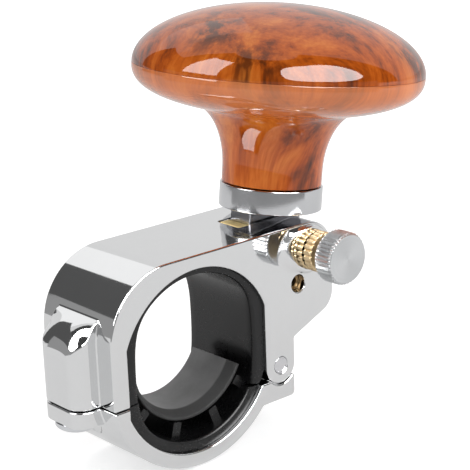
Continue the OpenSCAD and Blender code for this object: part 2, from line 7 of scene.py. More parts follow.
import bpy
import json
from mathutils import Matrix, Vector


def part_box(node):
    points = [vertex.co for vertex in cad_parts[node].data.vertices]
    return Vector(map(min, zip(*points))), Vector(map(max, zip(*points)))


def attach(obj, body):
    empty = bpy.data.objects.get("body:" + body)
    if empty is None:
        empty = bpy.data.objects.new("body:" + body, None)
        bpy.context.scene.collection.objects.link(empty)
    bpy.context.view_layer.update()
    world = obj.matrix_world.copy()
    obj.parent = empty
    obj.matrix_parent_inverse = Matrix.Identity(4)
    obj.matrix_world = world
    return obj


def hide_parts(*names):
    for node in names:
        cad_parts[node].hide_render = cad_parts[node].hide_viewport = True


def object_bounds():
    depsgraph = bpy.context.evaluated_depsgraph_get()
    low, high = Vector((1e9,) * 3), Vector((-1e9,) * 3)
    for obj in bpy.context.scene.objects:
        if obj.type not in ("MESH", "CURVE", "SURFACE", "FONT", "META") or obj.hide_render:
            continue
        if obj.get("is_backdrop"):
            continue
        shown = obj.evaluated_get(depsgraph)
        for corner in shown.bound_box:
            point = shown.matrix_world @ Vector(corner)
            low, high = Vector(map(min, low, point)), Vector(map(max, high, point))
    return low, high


bl_info = {
    "name": "Spinner knob",
    "version": (1, 0, 0),
    "blender": (4, 5, 0),
    "location": "3D Viewport > Sidebar > Spinner knob",
    "description": "Builds a wood spinner knob and its folding chrome rim clamp piece by piece",
    "category": "Object",
}

import json
import math

import bmesh
import bpy
import numpy as np
from bpy.props import FloatProperty, FloatVectorProperty, IntProperty, PointerProperty
from mathutils import Matrix, Vector

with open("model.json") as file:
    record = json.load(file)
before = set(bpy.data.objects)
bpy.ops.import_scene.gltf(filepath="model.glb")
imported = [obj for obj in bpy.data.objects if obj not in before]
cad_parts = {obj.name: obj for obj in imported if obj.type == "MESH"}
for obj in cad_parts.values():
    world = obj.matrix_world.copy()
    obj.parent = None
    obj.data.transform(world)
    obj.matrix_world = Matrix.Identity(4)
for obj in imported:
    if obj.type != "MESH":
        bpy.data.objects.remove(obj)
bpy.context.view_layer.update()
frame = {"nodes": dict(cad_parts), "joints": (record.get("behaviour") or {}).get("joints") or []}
JOINTS = {joint["name"]: joint for joint in frame["joints"]}

MM = 0.001
TURN = 2 * math.pi
MERGE = 2e-7


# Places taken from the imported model

def spot(node, share=(0.5, 0.5, 0.5)):
    """The point at these shares of a node's box."""
    low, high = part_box(node)
    return np.array([low[k] + share[k] * (high[k] - low[k]) for k in range(3)])


KNOB_FOOT = np.array(JOINTS["knob_spin"]["pos_m"])
KNOB_AXIS = np.array(JOINTS["knob_spin"]["axis"])
FOLD_PIVOT = np.array(JOINTS["knob_fold"]["pos_m"])
HINGE_PIVOT = np.array(JOINTS["jaw_hinge"]["pos_m"])
ALONG_RIM = np.array([0.0, 1.0, 0.0])
UP = np.array([0.0, 0.0, 1.0])


# Grids of points made into meshes

def grid_faces(rows, columns, close_rows, close_columns):
    """Quads that join each point of a grid to the next in its row and in its column."""
    i = np.arange(rows if close_rows else rows - 1)[:, None]
    j = np.arange(columns if close_columns else columns - 1)[None, :]
    i, j = np.broadcast_arrays(i, j)
    i_next = (i + 1) % rows
    j_next = (j + 1) % columns
    corners = [i * columns + j, i_next * columns + j, i_next * columns + j_next, i * columns + j_next]
    return np.stack(corners, axis=-1).reshape(-1, 4)


def surface(points, close_rows=False, close_columns=False):
    """A grid of points of shape (rows, columns, 3) with its faces."""
    rows, columns = points.shape[:2]
    return points.reshape(-1, 3), grid_faces(rows, columns, close_rows, close_columns)


def build_mesh(name, surfaces):
    """One mesh of several surfaces, with seams and poles merged and faces pointing outwards."""
    points = np.concatenate([part[0] for part in surfaces])
    starts = np.cumsum([0] + [len(part[0]) for part in surfaces[:-1]])
    faces = np.concatenate([part[1] + start for part, start in zip(surfaces, starts)])
    mesh = bpy.data.meshes.new(name)
    mesh.vertices.add(len(points))
    mesh.vertices.foreach_set("co", points.astype(np.float32).ravel())
    mesh.loops.add(faces.size)
    mesh.loops.foreach_set("vertex_index", faces.astype(np.int32).ravel())
    mesh.polygons.add(len(faces))
    mesh.polygons.foreach_set("loop_start", np.arange(0, faces.size, 4, dtype=np.int32))
    mesh.update(calc_edges=True)
    work = bmesh.new()
    work.from_mesh(mesh)
    bmesh.ops.remove_doubles(work, verts=work.verts, dist=MERGE)
    bmesh.ops.recalc_face_normals(work, faces=work.faces)
    work.to_mesh(mesh)
    work.free()
    return mesh


def shade(mesh, crease):
    """Smooth shading that breaks where faces meet at more than the crease angle."""
    mesh.polygons.foreach_set("use_smooth", np.ones(len(mesh.polygons), bool))
    mesh.set_sharp_from_angle(angle=math.radians(crease))


def show(name, mesh, body, material, stands_for=()):
    """Links a mesh as a piece that rides on a body and stands for the named nodes."""
    piece = bpy.data.objects.new(name, mesh)
    bpy.context.scene.collection.objects.link(piece)
    mesh.materials.clear()
    mesh.materials.append(material)
    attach(piece, body)
    if stands_for:
        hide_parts(*stands_for)
    return piece


def finish_node(node, material):
    """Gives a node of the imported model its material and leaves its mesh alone."""
    mesh = frame["nodes"][node].data
    mesh.materials.clear()
    mesh.materials.append(material)


def rounded(corners, radius, steps=4):
    """A closed outline with arcs for corners: each starts radius times tan(half the turn) before its corner."""
    points = np.asarray(corners, float)
    radii = np.broadcast_to(radius, len(points))
    arcs = []
    for k, corner in enumerate(points):
        to_last = points[k - 1] - corner
        to_next = points[(k + 1) % len(points)] - corner
        last_length = np.linalg.norm(to_last)
        next_length = np.linalg.norm(to_next)
        to_last = to_last / last_length
        to_next = to_next / next_length
        half_turn = (math.pi - math.acos(np.clip(to_last @ to_next, -1, 1))) / 2
        if radii[k] <= 0 or half_turn < 0.01:
            arcs.append(corner[None])
            continue
        cut = min(radii[k] * math.tan(half_turn), 0.48 * last_length, 0.48 * next_length)
        middle = (to_last + to_next) / np.linalg.norm(to_last + to_next)
        centre = corner + middle * cut / math.tan(half_turn) / math.cos(half_turn)
        start = corner + to_last * cut - centre
        end = corner + to_next * cut - centre
        t = np.linspace(0, 1, steps + 1)[:, None]
        turn = 2 * half_turn
        arcs.append(centre + (np.sin((1 - t) * turn) * start + np.sin(t * turn) * end) / math.sin(turn))
    return np.concatenate(arcs)


def densified(outline, gap):
    """A closed outline with points added by equal steps, so that none is longer than the gap."""
    ends = np.roll(outline, -1, axis=0)
    counts = np.maximum(1, np.ceil(np.linalg.norm(ends - outline, axis=1) / gap)).astype(int)
    pieces = [a + (b - a) * np.arange(n)[:, None] / n for a, b, n in zip(outline, ends, counts)]
    return np.concatenate(pieces)


def side_of(axis):
    """Two unit vectors that stand square to an axis and to each other."""
    helper = ALONG_RIM if abs(axis[1]) < 0.9 else UP
    first = np.cross(helper, axis)
    first = first / np.linalg.norm(first)
    return first, np.cross(axis, first)


def turned(outline, origin, axis, steps=160, radius_of=None):
    """A lathe surface: a closed outline of radius and height carried once round an axis.

    The point at angle a is origin + height * axis + radius * (cos a * first + sin a * second).
    radius_of may change the radius by angle, radius and height."""
    first, second = side_of(axis)
    angle = np.arange(steps) * TURN / steps
    radius = np.broadcast_to(outline[:, :1], (len(outline), steps))
    height = np.broadcast_to(outline[:, 1:], (len(outline), steps))
    if radius_of:
        radius = radius_of(angle[None, :], radius, height)
    round_axis = np.cos(angle)[:, None] * first + np.sin(angle)[:, None] * second
    points = origin + height[..., None] * axis + radius[..., None] * round_axis[None]
    return surface(points, close_rows=True, close_columns=True)


def crowned(mesh, zone, least, drop):
    """Splits the long edges of a zone along Y and lowers its points by drop of their x and y."""
    work = bmesh.new()
    work.from_mesh(mesh)
    points = np.array([corner.co for corner in work.verts])
    inside = zone(points)
    long_edges = [rim for rim in work.edges
                  if inside[rim.verts[0].index] and inside[rim.verts[1].index]
                  and abs(rim.verts[0].co.y - rim.verts[1].co.y) > least]
    bmesh.ops.subdivide_edges(work, edges=long_edges, cuts=15, use_grid_fill=True)
    work.to_mesh(mesh)
    work.free()
    points = np.empty(3 * len(mesh.vertices))
    mesh.vertices.foreach_get("co", points)
    points = points.reshape(-1, 3)
    points[:, 2] -= np.where(zone(points), drop(points[:, 0], points[:, 1]), 0.0)
    mesh.vertices.foreach_set("co", points.ravel())
    mesh.update()


def cast_copy(node, name, body, material, edge, segments=3, crown=None):
    """A merged copy of a node with its flat faces joined and its edges rounded by a bevel.

    crown may give the zone, the least edge and the drop of a face that is domed."""
    work = bmesh.new()
    work.from_mesh(frame["nodes"][node].data)
    bmesh.ops.remove_doubles(work, verts=work.verts, dist=1e-6)
    bmesh.ops.dissolve_limit(
        work, angle_limit=math.radians(0.6), verts=work.verts, edges=work.edges
    )
    mesh = bpy.data.meshes.new(name)
    work.to_mesh(mesh)
    work.free()
    if crown:
        crowned(mesh, *crown)
    if "custom_normal" in mesh.attributes:
        mesh.attributes.remove(mesh.attributes["custom_normal"])
    mesh.polygons.foreach_set("use_smooth", np.ones(len(mesh.polygons), bool))
    piece = show(name, mesh, body, material, (node,))
    bevel = piece.modifiers.new("rounded_edges", "BEVEL")
    bevel.width = edge
    bevel.segments = segments
    bevel.limit_method = "ANGLE"
    bevel.angle_limit = math.radians(28)
    bevel.use_clamp_overlap = False
    bevel.miter_outer = "MITER_ARC"
    bevel.harden_normals = True
    return piece


# Shader building

def node_in(tree, kind, settings=None, **values):
    """Adds a node, sets its properties and the sockets named in values, and returns it."""
    node = tree.nodes.new(kind)
    for key, value in (settings or {}).items():
        setattr(node, key, value)
    for key, value in values.items():
        socket = node.inputs[key.replace("_", " ")]
        if isinstance(value, bpy.types.NodeSocket):
            tree.links.new(value, socket)
        else:
            socket.default_value = value
    return node


def ramp_in(tree, factor, stops, smooth=False):
    """A colour ramp with stops of position and colour."""
    node = tree.nodes.new("ShaderNodeValToRGB")
    ramp = node.color_ramp
    ramp.interpolation = "EASE" if smooth else "LINEAR"
    while len(ramp.elements) < len(stops):
        ramp.elements.new(0.5)
    for element, (position, colour) in zip(ramp.elements, stops):
        element.position = position
        element.color = (*colour, 1)
    tree.links.new(factor, node.inputs["Fac"])
    return node


def math_in(tree, operation, first, second=0.0, third=0.0):
    """A math node on sockets or numbers, and its result."""
    node = tree.nodes.new("ShaderNodeMath")
    node.operation = operation
    for socket, value in zip(node.inputs, (first, second, third)):
        if isinstance(value, bpy.types.NodeSocket):
            tree.links.new(value, socket)
        else:
            socket.default_value = value
    return node.outputs["Value"]


def group_shell(name, inputs, outputs):
    """An empty node group with named inputs and outputs, and its two end nodes."""
    tree = bpy.data.node_groups.new(name, "ShaderNodeTree")
    for label, kind, value in inputs:
        socket = tree.interface.new_socket(name=label, in_out="INPUT", socket_type=kind)
        if value is not None:
            socket.default_value = value
    for label, kind in outputs:
        tree.interface.new_socket(name=label, in_out="OUTPUT", socket_type=kind)
    return tree, tree.nodes.new("NodeGroupInput"), tree.nodes.new("NodeGroupOutput")


def uneven_polish_group():
    """Roughness that drifts between two values in soft patches, with a few finger smears."""
    tree, given, made = group_shell(
        "uneven_polish",
        [
            ("Scale", "NodeSocketFloat", 90.0),
            ("Smooth", "NodeSocketFloat", 0.04),
            ("Dull", "NodeSocketFloat", 0.12),
        ],
        [("Roughness", "NodeSocketFloat"), ("Mask", "NodeSocketFloat")],
    )
    coords = node_in(tree, "ShaderNodeTexCoord")
    patches = node_in(tree, "ShaderNodeTexNoise", Vector=coords.outputs["Object"],
                      Scale=given.outputs["Scale"], Detail=3.0, Roughness=0.55)
    finer = math_in(tree, "MULTIPLY", given.outputs["Scale"], 9.0)
    smears = node_in(tree, "ShaderNodeTexNoise", Vector=coords.outputs["Object"],
                     Scale=finer, Detail=2.0, Roughness=0.6)
    mixed = math_in(tree, "MULTIPLY_ADD", smears.outputs["Fac"], 0.35, 0.0)
    mask = math_in(tree, "MULTIPLY_ADD", patches.outputs["Fac"], 0.65, mixed)
    spread = node_in(tree, "ShaderNodeMapRange", {"clamp": True}, Value=mask, From_Min=0.35,
                     From_Max=0.65, To_Min=given.outputs["Smooth"], To_Max=given.outputs["Dull"])
    tree.links.new(spread.outputs["Result"], made.inputs["Roughness"])
    tree.links.new(mask, made.inputs["Mask"])
    return tree


def lathe_lines_group():
    """Fine rings round an axis: the height is noise of the distance from that axis alone."""
    tree, given, made = group_shell(
        "lathe_lines",
        [
            ("Centre", "NodeSocketVector", None),
            ("Turn", "NodeSocketVector", None),
            ("Scale", "NodeSocketFloat", 2500.0),
        ],
        [("Height", "NodeSocketFloat"), ("Angle", "NodeSocketFloat")],
    )
    coords = node_in(tree, "ShaderNodeTexCoord")
    moved = node_in(tree, "ShaderNodeVectorMath", {"operation": "SUBTRACT"})
    tree.links.new(coords.outputs["Object"], moved.inputs[0])
    tree.links.new(given.outputs["Centre"], moved.inputs[1])
    turned_back = node_in(tree, "ShaderNodeVectorRotate",
                          {"rotation_type": "EULER_XYZ", "invert": True},
                          Vector=moved.outputs["Vector"], Rotation=given.outputs["Turn"])
    axes = node_in(tree, "ShaderNodeSeparateXYZ", Vector=turned_back.outputs["Vector"])
    flat = node_in(tree, "ShaderNodeCombineXYZ", X=axes.outputs["X"], Y=axes.outputs["Y"])
    length = node_in(tree, "ShaderNodeVectorMath", {"operation": "LENGTH"})
    tree.links.new(flat.outputs["Vector"], length.inputs[0])
    along = node_in(tree, "ShaderNodeCombineXYZ", X=length.outputs["Value"], Y=axes.outputs["Z"])
    rings = node_in(tree, "ShaderNodeTexNoise", Vector=along.outputs["Vector"],
                    Scale=given.outputs["Scale"], Detail=3.0, Roughness=0.7)
    angle = math_in(tree, "ARCTAN2", axes.outputs["Y"], axes.outputs["X"])
    tree.links.new(rings.outputs["Fac"], made.inputs["Height"])
    tree.links.new(angle, made.inputs["Angle"])
    return tree


def moulded_skin_group():
    """The fine pebbled skin and larger waves of moulded rubber."""
    tree, given, made = group_shell(
        "moulded_skin",
        [("Grain", "NodeSocketFloat", 3000.0), ("Waves", "NodeSocketFloat", 150.0)],
        [("Height", "NodeSocketFloat"), ("Mask", "NodeSocketFloat")],
    )
    coords = node_in(tree, "ShaderNodeTexCoord")
    grain = node_in(tree, "ShaderNodeTexVoronoi", {"feature": "SMOOTH_F1"},
                    Vector=coords.outputs["Object"], Scale=given.outputs["Grain"])
    waves = node_in(tree, "ShaderNodeTexNoise", Vector=coords.outputs["Object"],
                    Scale=given.outputs["Waves"], Detail=4.0)
    both = math_in(tree, "MULTIPLY_ADD", grain.outputs["Distance"], 0.3, waves.outputs["Fac"])
    tree.links.new(both, made.inputs["Height"])
    tree.links.new(waves.outputs["Fac"], made.inputs["Mask"])
    return tree


def group(name, maker):
    """The node group of this name, made the first time it is asked for."""
    return bpy.data.node_groups.get(name) or maker()


def use_group(tree, name, maker, **values):
    """Places a shared group in a material with its own values."""
    node = tree.nodes.new("ShaderNodeGroup")
    node.node_tree = group(name, maker)
    for key, value in values.items():
        node.inputs[key].default_value = value
    return node


def plain_material(name):
    """A new material, its node tree and its shader."""
    material = bpy.data.materials.new(name)
    material.use_nodes = True
    tree = material.node_tree
    return material, tree, tree.nodes["Principled BSDF"]


def bump_into(tree, shader, height, strength, distance):
    """Feeds a height through a Bump node into the shader's normal."""
    bump = node_in(tree, "ShaderNodeBump", Height=height, Strength=strength, Distance=distance)
    tree.links.new(bump.outputs["Normal"], shader.inputs["Normal"])
    return bump


def metal(name, colour, smooth, dull, scale=90.0, dark=0.94):
    """Polished or satin metal with uneven polish and a slight drift of colour."""
    found = bpy.data.materials.get(name)
    if found:
        return found
    material, tree, shader = plain_material(name)
    polish = use_group(tree, "uneven_polish", uneven_polish_group, Scale=scale, Smooth=smooth, Dull=dull)
    tree.links.new(polish.outputs["Roughness"], shader.inputs["Roughness"])
    tint = ramp_in(tree, polish.outputs["Mask"],
                   [(0.3, tuple(c * dark for c in colour)), (0.7, tuple(colour))])
    tree.links.new(tint.outputs["Color"], shader.inputs["Base Color"])
    shader.inputs["Metallic"].default_value = 1.0
    return material


def turned_metal(name, colour, smooth, dull, centre, axis, line_scale=2500.0, depth=0.000005, sheen=0.0):
    """Metal with fine lathe lines round an axis. A nonzero share puts ring tone from the lathe lines into the colour,
    together with a painted two-lobed highlight by angle, standing for what a turned face reflects.
    """
    material = metal(name, colour, smooth, dull, dark=0.985)
    tree = material.node_tree
    shader = tree.nodes["Principled BSDF"]
    lines = use_group(tree, "lathe_lines", lathe_lines_group, Scale=line_scale)
    lines.inputs["Centre"].default_value = tuple(centre)
    lines.inputs["Turn"].default_value = tuple(Vector(axis).to_track_quat("Z", "Y").to_euler())
    bump_into(tree, shader, lines.outputs["Height"], 0.5, depth)
    if sheen:
        # Painted highlight: the base colour is brightened in two lobes by angle round the axis, with real ring tone
        # from the lathe lines
        base = shader.inputs["Base Color"].links[0].from_socket
        twice = math_in(tree, "MULTIPLY_ADD", lines.outputs["Angle"], 2.0, 0.9)
        painted_sheen_lobe = math_in(tree, "COSINE", twice)
        rings = math_in(tree, "MULTIPLY_ADD", lines.outputs["Height"], sheen, 1.0 - sheen)
        level = math_in(tree, "MULTIPLY_ADD", painted_sheen_lobe, 0.5 * sheen, rings)
        scaled = node_in(tree, "ShaderNodeVectorMath", {"operation": "SCALE"}, Scale=level)
        tree.links.new(base, scaled.inputs[0])
        tree.links.new(scaled.outputs["Vector"], shader.inputs["Base Color"])
    return material


def rubber(name, colour, smooth, dull, grain, depth):
    """Black rubber with a moulded skin."""
    material, tree, shader = plain_material(name)
    skin = use_group(tree, "moulded_skin", moulded_skin_group, Grain=grain)
    tint = ramp_in(tree, skin.outputs["Mask"],
                   [(0.3, tuple(c * 0.75 for c in colour)), (0.7, tuple(c * 1.2 for c in colour))])
    tree.links.new(tint.outputs["Color"], shader.inputs["Base Color"])
    polish = use_group(tree, "uneven_polish", uneven_polish_group, Smooth=smooth, Dull=dull)
    tree.links.new(polish.outputs["Roughness"], shader.inputs["Roughness"])
    shader.inputs["Specular IOR Level"].default_value = 0.4
    bump_into(tree, shader, skin.outputs["Height"], 0.4, depth)
    return material


def darken_front(material, start, end, level):
    """Darkens a rubber finish in front of a place along the rim: the colour falls to a level over the strip's sloped
    front lip.
    """
    tree = material.node_tree
    shader = tree.nodes["Principled BSDF"]
    given = shader.inputs["Base Color"].links[0].from_socket
    coords = node_in(tree, "ShaderNodeTexCoord")
    axes = node_in(tree, "ShaderNodeSeparateXYZ", Vector=coords.outputs["Object"])
    share = node_in(tree, "ShaderNodeMapRange", {"clamp": True}, Value=axes.outputs["Y"], From_Min=start,
                    From_Max=end, To_Min=level, To_Max=1.0)
    scaled = node_in(tree, "ShaderNodeVectorMath", {"operation": "SCALE"}, Scale=share.outputs["Result"])
    tree.links.new(given, scaled.inputs[0])
    tree.links.new(scaled.outputs["Vector"], shader.inputs["Base Color"])


def paint_groove_shade(material, middle, width, level):
    """Painted shade: scales a material's colour down to a level within a groove round Y."""
    tree = material.node_tree
    shader = tree.nodes["Principled BSDF"]
    given = shader.inputs["Base Color"].links[0].from_socket
    coords = node_in(tree, "ShaderNodeTexCoord")
    axes = node_in(tree, "ShaderNodeSeparateXYZ", Vector=coords.outputs["Object"])
    away = math_in(tree, "ABSOLUTE", math_in(tree, "SUBTRACT", axes.outputs["Y"], middle))
    outside = math_in(tree, "GREATER_THAN", away, width / 2)
    share = math_in(tree, "MULTIPLY_ADD", outside, 1 - level, level)
    scaled = node_in(tree, "ShaderNodeVectorMath", {"operation": "SCALE"}, Scale=share)
    tree.links.new(given, scaled.inputs[0])
    tree.links.new(scaled.outputs["Vector"], shader.inputs["Base Color"])


def knob_place(right, near, height):
    """A point of the knob: to the camera's right, towards the camera and up the knob's axis.

    It carries the mean push of the noise that bends the wood's figure."""
    spot_at = right * np.array([0.749, -0.662, 0]) + near * np.array([-0.653, -0.757, 0])
    across, back = side_of(KNOB_AXIS)
    turn = np.array(Vector(KNOB_AXIS).to_track_quat("Z", "Y").to_matrix())
    local = turn.T @ spot_at
    return (local[0] + 0.01, local[1] + 0.01, local[2] + height + 0.015)


KNOTS = (
    (knob_place(-2 * MM, 28 * MM, 46 * MM), 9 * MM),
    (knob_place(-12 * MM, 19 * MM, 51 * MM), 8 * MM),
    (knob_place(26 * MM, 8 * MM, 48 * MM), 10 * MM),
    (knob_place(-4 * MM, 10 * MM, 32 * MM), 4 * MM),
)


def burl_wood(look):
    """Lacquered burl: streaks along the knob's axis, drifting figure, and dark knots.

    Noise squeezed along the axis gives the streaks. Cells bent by a slow noise give the knots. A paler band under the
    seam is painted light: the bright floor reflected in the lacquer and bounced onto the bulge."""
    material, tree, shader = plain_material("lacquered_burl")
    coords = node_in(tree, "ShaderNodeTexCoord")
    upright = Vector(KNOB_AXIS).to_track_quat("Z", "Y").to_euler()
    centred = node_in(tree, "ShaderNodeMapping", {"vector_type": "TEXTURE"},
                      Vector=coords.outputs["Object"], Location=tuple(KNOB_FOOT), Rotation=tuple(upright))
    warp = node_in(tree, "ShaderNodeTexNoise", Vector=centred.outputs["Vector"], Scale=28.0,
                   Detail=2.0, Roughness=0.5)
    push = node_in(tree, "ShaderNodeVectorMath", {"operation": "MULTIPLY_ADD"})
    tree.links.new(warp.outputs["Color"], push.inputs[0])
    push.inputs[1].default_value = (0.02, 0.02, 0.03)
    tree.links.new(centred.outputs["Vector"], push.inputs[2])
    bent = push.outputs["Vector"]
    figure_space = node_in(tree, "ShaderNodeMapping", Vector=bent, Scale=(1.0, 1.0, 0.45))
    figure = node_in(tree, "ShaderNodeTexNoise", Vector=figure_space.outputs["Vector"],
                     Scale=look.figure_scale, Detail=5.0, Roughness=0.62, Distortion=0.9)
    streak_space = node_in(tree, "ShaderNodeMapping", Vector=bent, Scale=(1.0, 1.0, 0.07))
    streaks = node_in(tree, "ShaderNodeTexNoise", Vector=streak_space.outputs["Vector"],
                      Scale=look.streak_scale, Detail=4.0, Roughness=0.65)
    fine_space = node_in(tree, "ShaderNodeMapping", Vector=bent, Scale=(1.0, 1.0, 0.05))
    fine = node_in(tree, "ShaderNodeTexNoise", Vector=fine_space.outputs["Vector"],
                   Scale=look.streak_scale * 6, Detail=2.0, Roughness=0.6)
    blend = math_in(tree, "MULTIPLY", figure.outputs["Fac"], 0.56)
    blend = math_in(tree, "MULTIPLY_ADD", streaks.outputs["Fac"], 0.32, blend)
    blend = math_in(tree, "MULTIPLY_ADD", fine.outputs["Fac"], 0.12, blend)
    colours = ramp_in(tree, blend, [
        (0.39, tuple(look.dark_colour)),
        (0.445, (0.2, 0.036, 0.003)),
        (0.49, tuple(look.main_colour)),
        (0.54, (0.5, 0.105, 0.009)),
        (0.61, tuple(look.light_colour)),
    ])
    knots = node_in(tree, "ShaderNodeTexVoronoi", {"feature": "SMOOTH_F1"},
                    Vector=bent, Scale=look.knot_scale, Randomness=1.0)
    knot_mask = node_in(tree, "ShaderNodeMapRange", {"clamp": True}, Value=knots.outputs["Distance"],
                        From_Min=0.02, From_Max=0.3, To_Min=1.0, To_Max=0.0)
    some = node_in(tree, "ShaderNodeTexNoise", Vector=bent, Scale=34.0, Detail=1.0)
    some_mask = node_in(tree, "ShaderNodeMapRange", {"clamp": True}, Value=some.outputs["Fac"],
                        From_Min=0.46, From_Max=0.6)
    knot = math_in(tree, "MULTIPLY", knot_mask.outputs["Result"], some_mask.outputs["Result"])
    height = node_in(tree, "ShaderNodeSeparateXYZ", Vector=centred.outputs["Vector"])
    above_neck = node_in(tree, "ShaderNodeMapRange", {"clamp": True}, Value=height.outputs["Z"],
                         From_Min=look.flare_start + 3 * MM, From_Max=look.flare_start + 12 * MM,
                         To_Min=look.neck_knots)
    knot = math_in(tree, "MULTIPLY", knot, above_neck.outputs["Result"])
    knot = math_in(tree, "MULTIPLY", knot, 0.6)
    for place, size in KNOTS:
        away = node_in(tree, "ShaderNodeVectorMath", {"operation": "DISTANCE"})
        tree.links.new(bent, away.inputs[0])
        away.inputs[1].default_value = place
        cloud = node_in(tree, "ShaderNodeMapRange", {"clamp": True}, Value=away.outputs["Value"],
                        From_Min=0.2 * size, From_Max=size, To_Min=1.2, To_Max=0.0)
        knot = math_in(tree, "MAXIMUM", knot, cloud.outputs["Result"])
    torn = node_in(tree, "ShaderNodeMapRange", {"clamp": True}, Value=streaks.outputs["Fac"],
                   From_Min=0.42, From_Max=0.56, To_Min=1.0, To_Max=0.1)
    knot = math_in(tree, "MULTIPLY", knot, torn.outputs["Result"])
    knot = math_in(tree, "MINIMUM", knot, 0.8)
    darkened = node_in(tree, "ShaderNodeMix", {"data_type": "RGBA"})
    tree.links.new(knot, darkened.inputs["Factor"])
    tree.links.new(colours.outputs["Color"], darkened.inputs[6])
    darkened.inputs[7].default_value = (*look.knot_colour, 1)
    # Painted light: a paler band under the seam, standing for the bright floor's reflection and bounce light on the
    # bulge
    low_edge = node_in(tree, "ShaderNodeMapRange", {"clamp": True}, Value=height.outputs["Z"],
                       From_Min=look.seam_height - look.bulge_height, From_Max=look.seam_height - 5 * MM)
    under = math_in(tree, "LESS_THAN", height.outputs["Z"], look.seam_height)
    band = math_in(tree, "MULTIPLY", low_edge.outputs["Result"], under)
    band = math_in(tree, "MULTIPLY", band, look.floor_light_share)
    painted_floor_light = node_in(tree, "ShaderNodeMix", {"data_type": "RGBA"})
    tree.links.new(band, painted_floor_light.inputs["Factor"])
    tree.links.new(darkened.outputs[2], painted_floor_light.inputs[6])
    painted_floor_light.inputs[7].default_value = (*look.floor_light_colour, 1)
    tree.links.new(painted_floor_light.outputs[2], shader.inputs["Base Color"])
    shader.inputs["Roughness"].default_value = 0.5
    shader.inputs["Specular IOR Level"].default_value = 0.0
    shader.inputs["Coat Weight"].default_value = 1.0
    shader.inputs["Coat Roughness"].default_value = 0.02
    shader.inputs["Coat IOR"].default_value = look.lacquer_ior
    return material


# Sizes and colours that a user would change

class KnobLook(bpy.types.PropertyGroup):
    """Shape and finish of the wood knob."""

    radius: FloatProperty(name="Knob radius", description="Widest radius of the knob",
                          default=30 * MM, unit="LENGTH")
    dome_height: FloatProperty(name="Dome height", description="Height of the dome above the seam",
                               default=13.1 * MM, unit="LENGTH")
    bulge_height: FloatProperty(name="Bulge height", description="Depth of the bulge below the seam",
                                default=9 * MM, unit="LENGTH")
    bulge_power: FloatProperty(name="Bulge power", description="Fullness of the bulge, 2 being an ellipse",
                               default=2.5)
    seam_height: FloatProperty(name="Seam height", description="Height of the seam above the fold pivot",
                               default=42.8 * MM, unit="LENGTH")
    neck_radius: FloatProperty(name="Neck radius", description="Radius of the straight neck",
                               default=10.4 * MM, unit="LENGTH")
    neck_height: FloatProperty(name="Neck height", description="Height of the neck's foot above the pivot",
                               default=19.3 * MM, unit="LENGTH")
    flare_start: FloatProperty(name="Flare start", description="Height where the neck starts to flare",
                               default=21.9 * MM, unit="LENGTH")
    flare_radius: FloatProperty(name="Flare radius", description="Radius where the flare meets the bulge",
                                default=18 * MM, unit="LENGTH")
    wall: FloatProperty(name="Wall", description="Wall thickness of both shells",
                        default=3 * MM, unit="LENGTH")
    hub_radius: FloatProperty(name="Hub bore", description="Radius of the seat of the bearings",
                              default=8.52 * MM, unit="LENGTH")
    hub_top: FloatProperty(name="Hub top", description="Height of the hub above the fold pivot",
                           default=39.5 * MM, unit="LENGTH")
    seam_round: FloatProperty(name="Seam rounding", description="Radius of the edges at the seam",
                              default=0.1 * MM, unit="LENGTH")
    figure_scale: FloatProperty(name="Figure scale", description="Size of the wood's figure", default=52.0)
    streak_scale: FloatProperty(name="Streak scale", description="Size of the wood's streaks", default=230.0)
    knot_scale: FloatProperty(name="Knot scale", description="Spacing of the dark knots", default=62.0)
    lacquer_ior: FloatProperty(name="Lacquer index", description="Index of refraction of the lacquer",
                               default=1.55)
    neck_knots: FloatProperty(name="Neck knots", description="Share of the dark knots that the neck keeps",
                              default=0.1, subtype="FACTOR")
    # Painted light: the paler band under the seam stands for the floor's reflection and bounce light
    floor_light_share: FloatProperty(name="Band share", description="Strength of the paler band under the seam",
                              default=0.45)
    floor_light_colour: FloatVectorProperty(name="Band colour", description="Colour of the paler band",
                                     subtype="COLOR", default=(0.82, 0.3, 0.13))
    dark_colour: FloatVectorProperty(name="Dark colour", description="Darkest grain", subtype="COLOR",
                                     default=(0.07, 0.013, 0.002))
    main_colour: FloatVectorProperty(name="Main colour", description="Colour of most of the wood",
                                     subtype="COLOR", default=(0.38, 0.068, 0.004))
    light_colour: FloatVectorProperty(name="Light colour", description="Lightest grain", subtype="COLOR",
                                      default=(0.62, 0.17, 0.022))
    knot_colour: FloatVectorProperty(name="Knot colour", description="Colour of the knots",
                                     subtype="COLOR", default=(0.055, 0.014, 0.003))


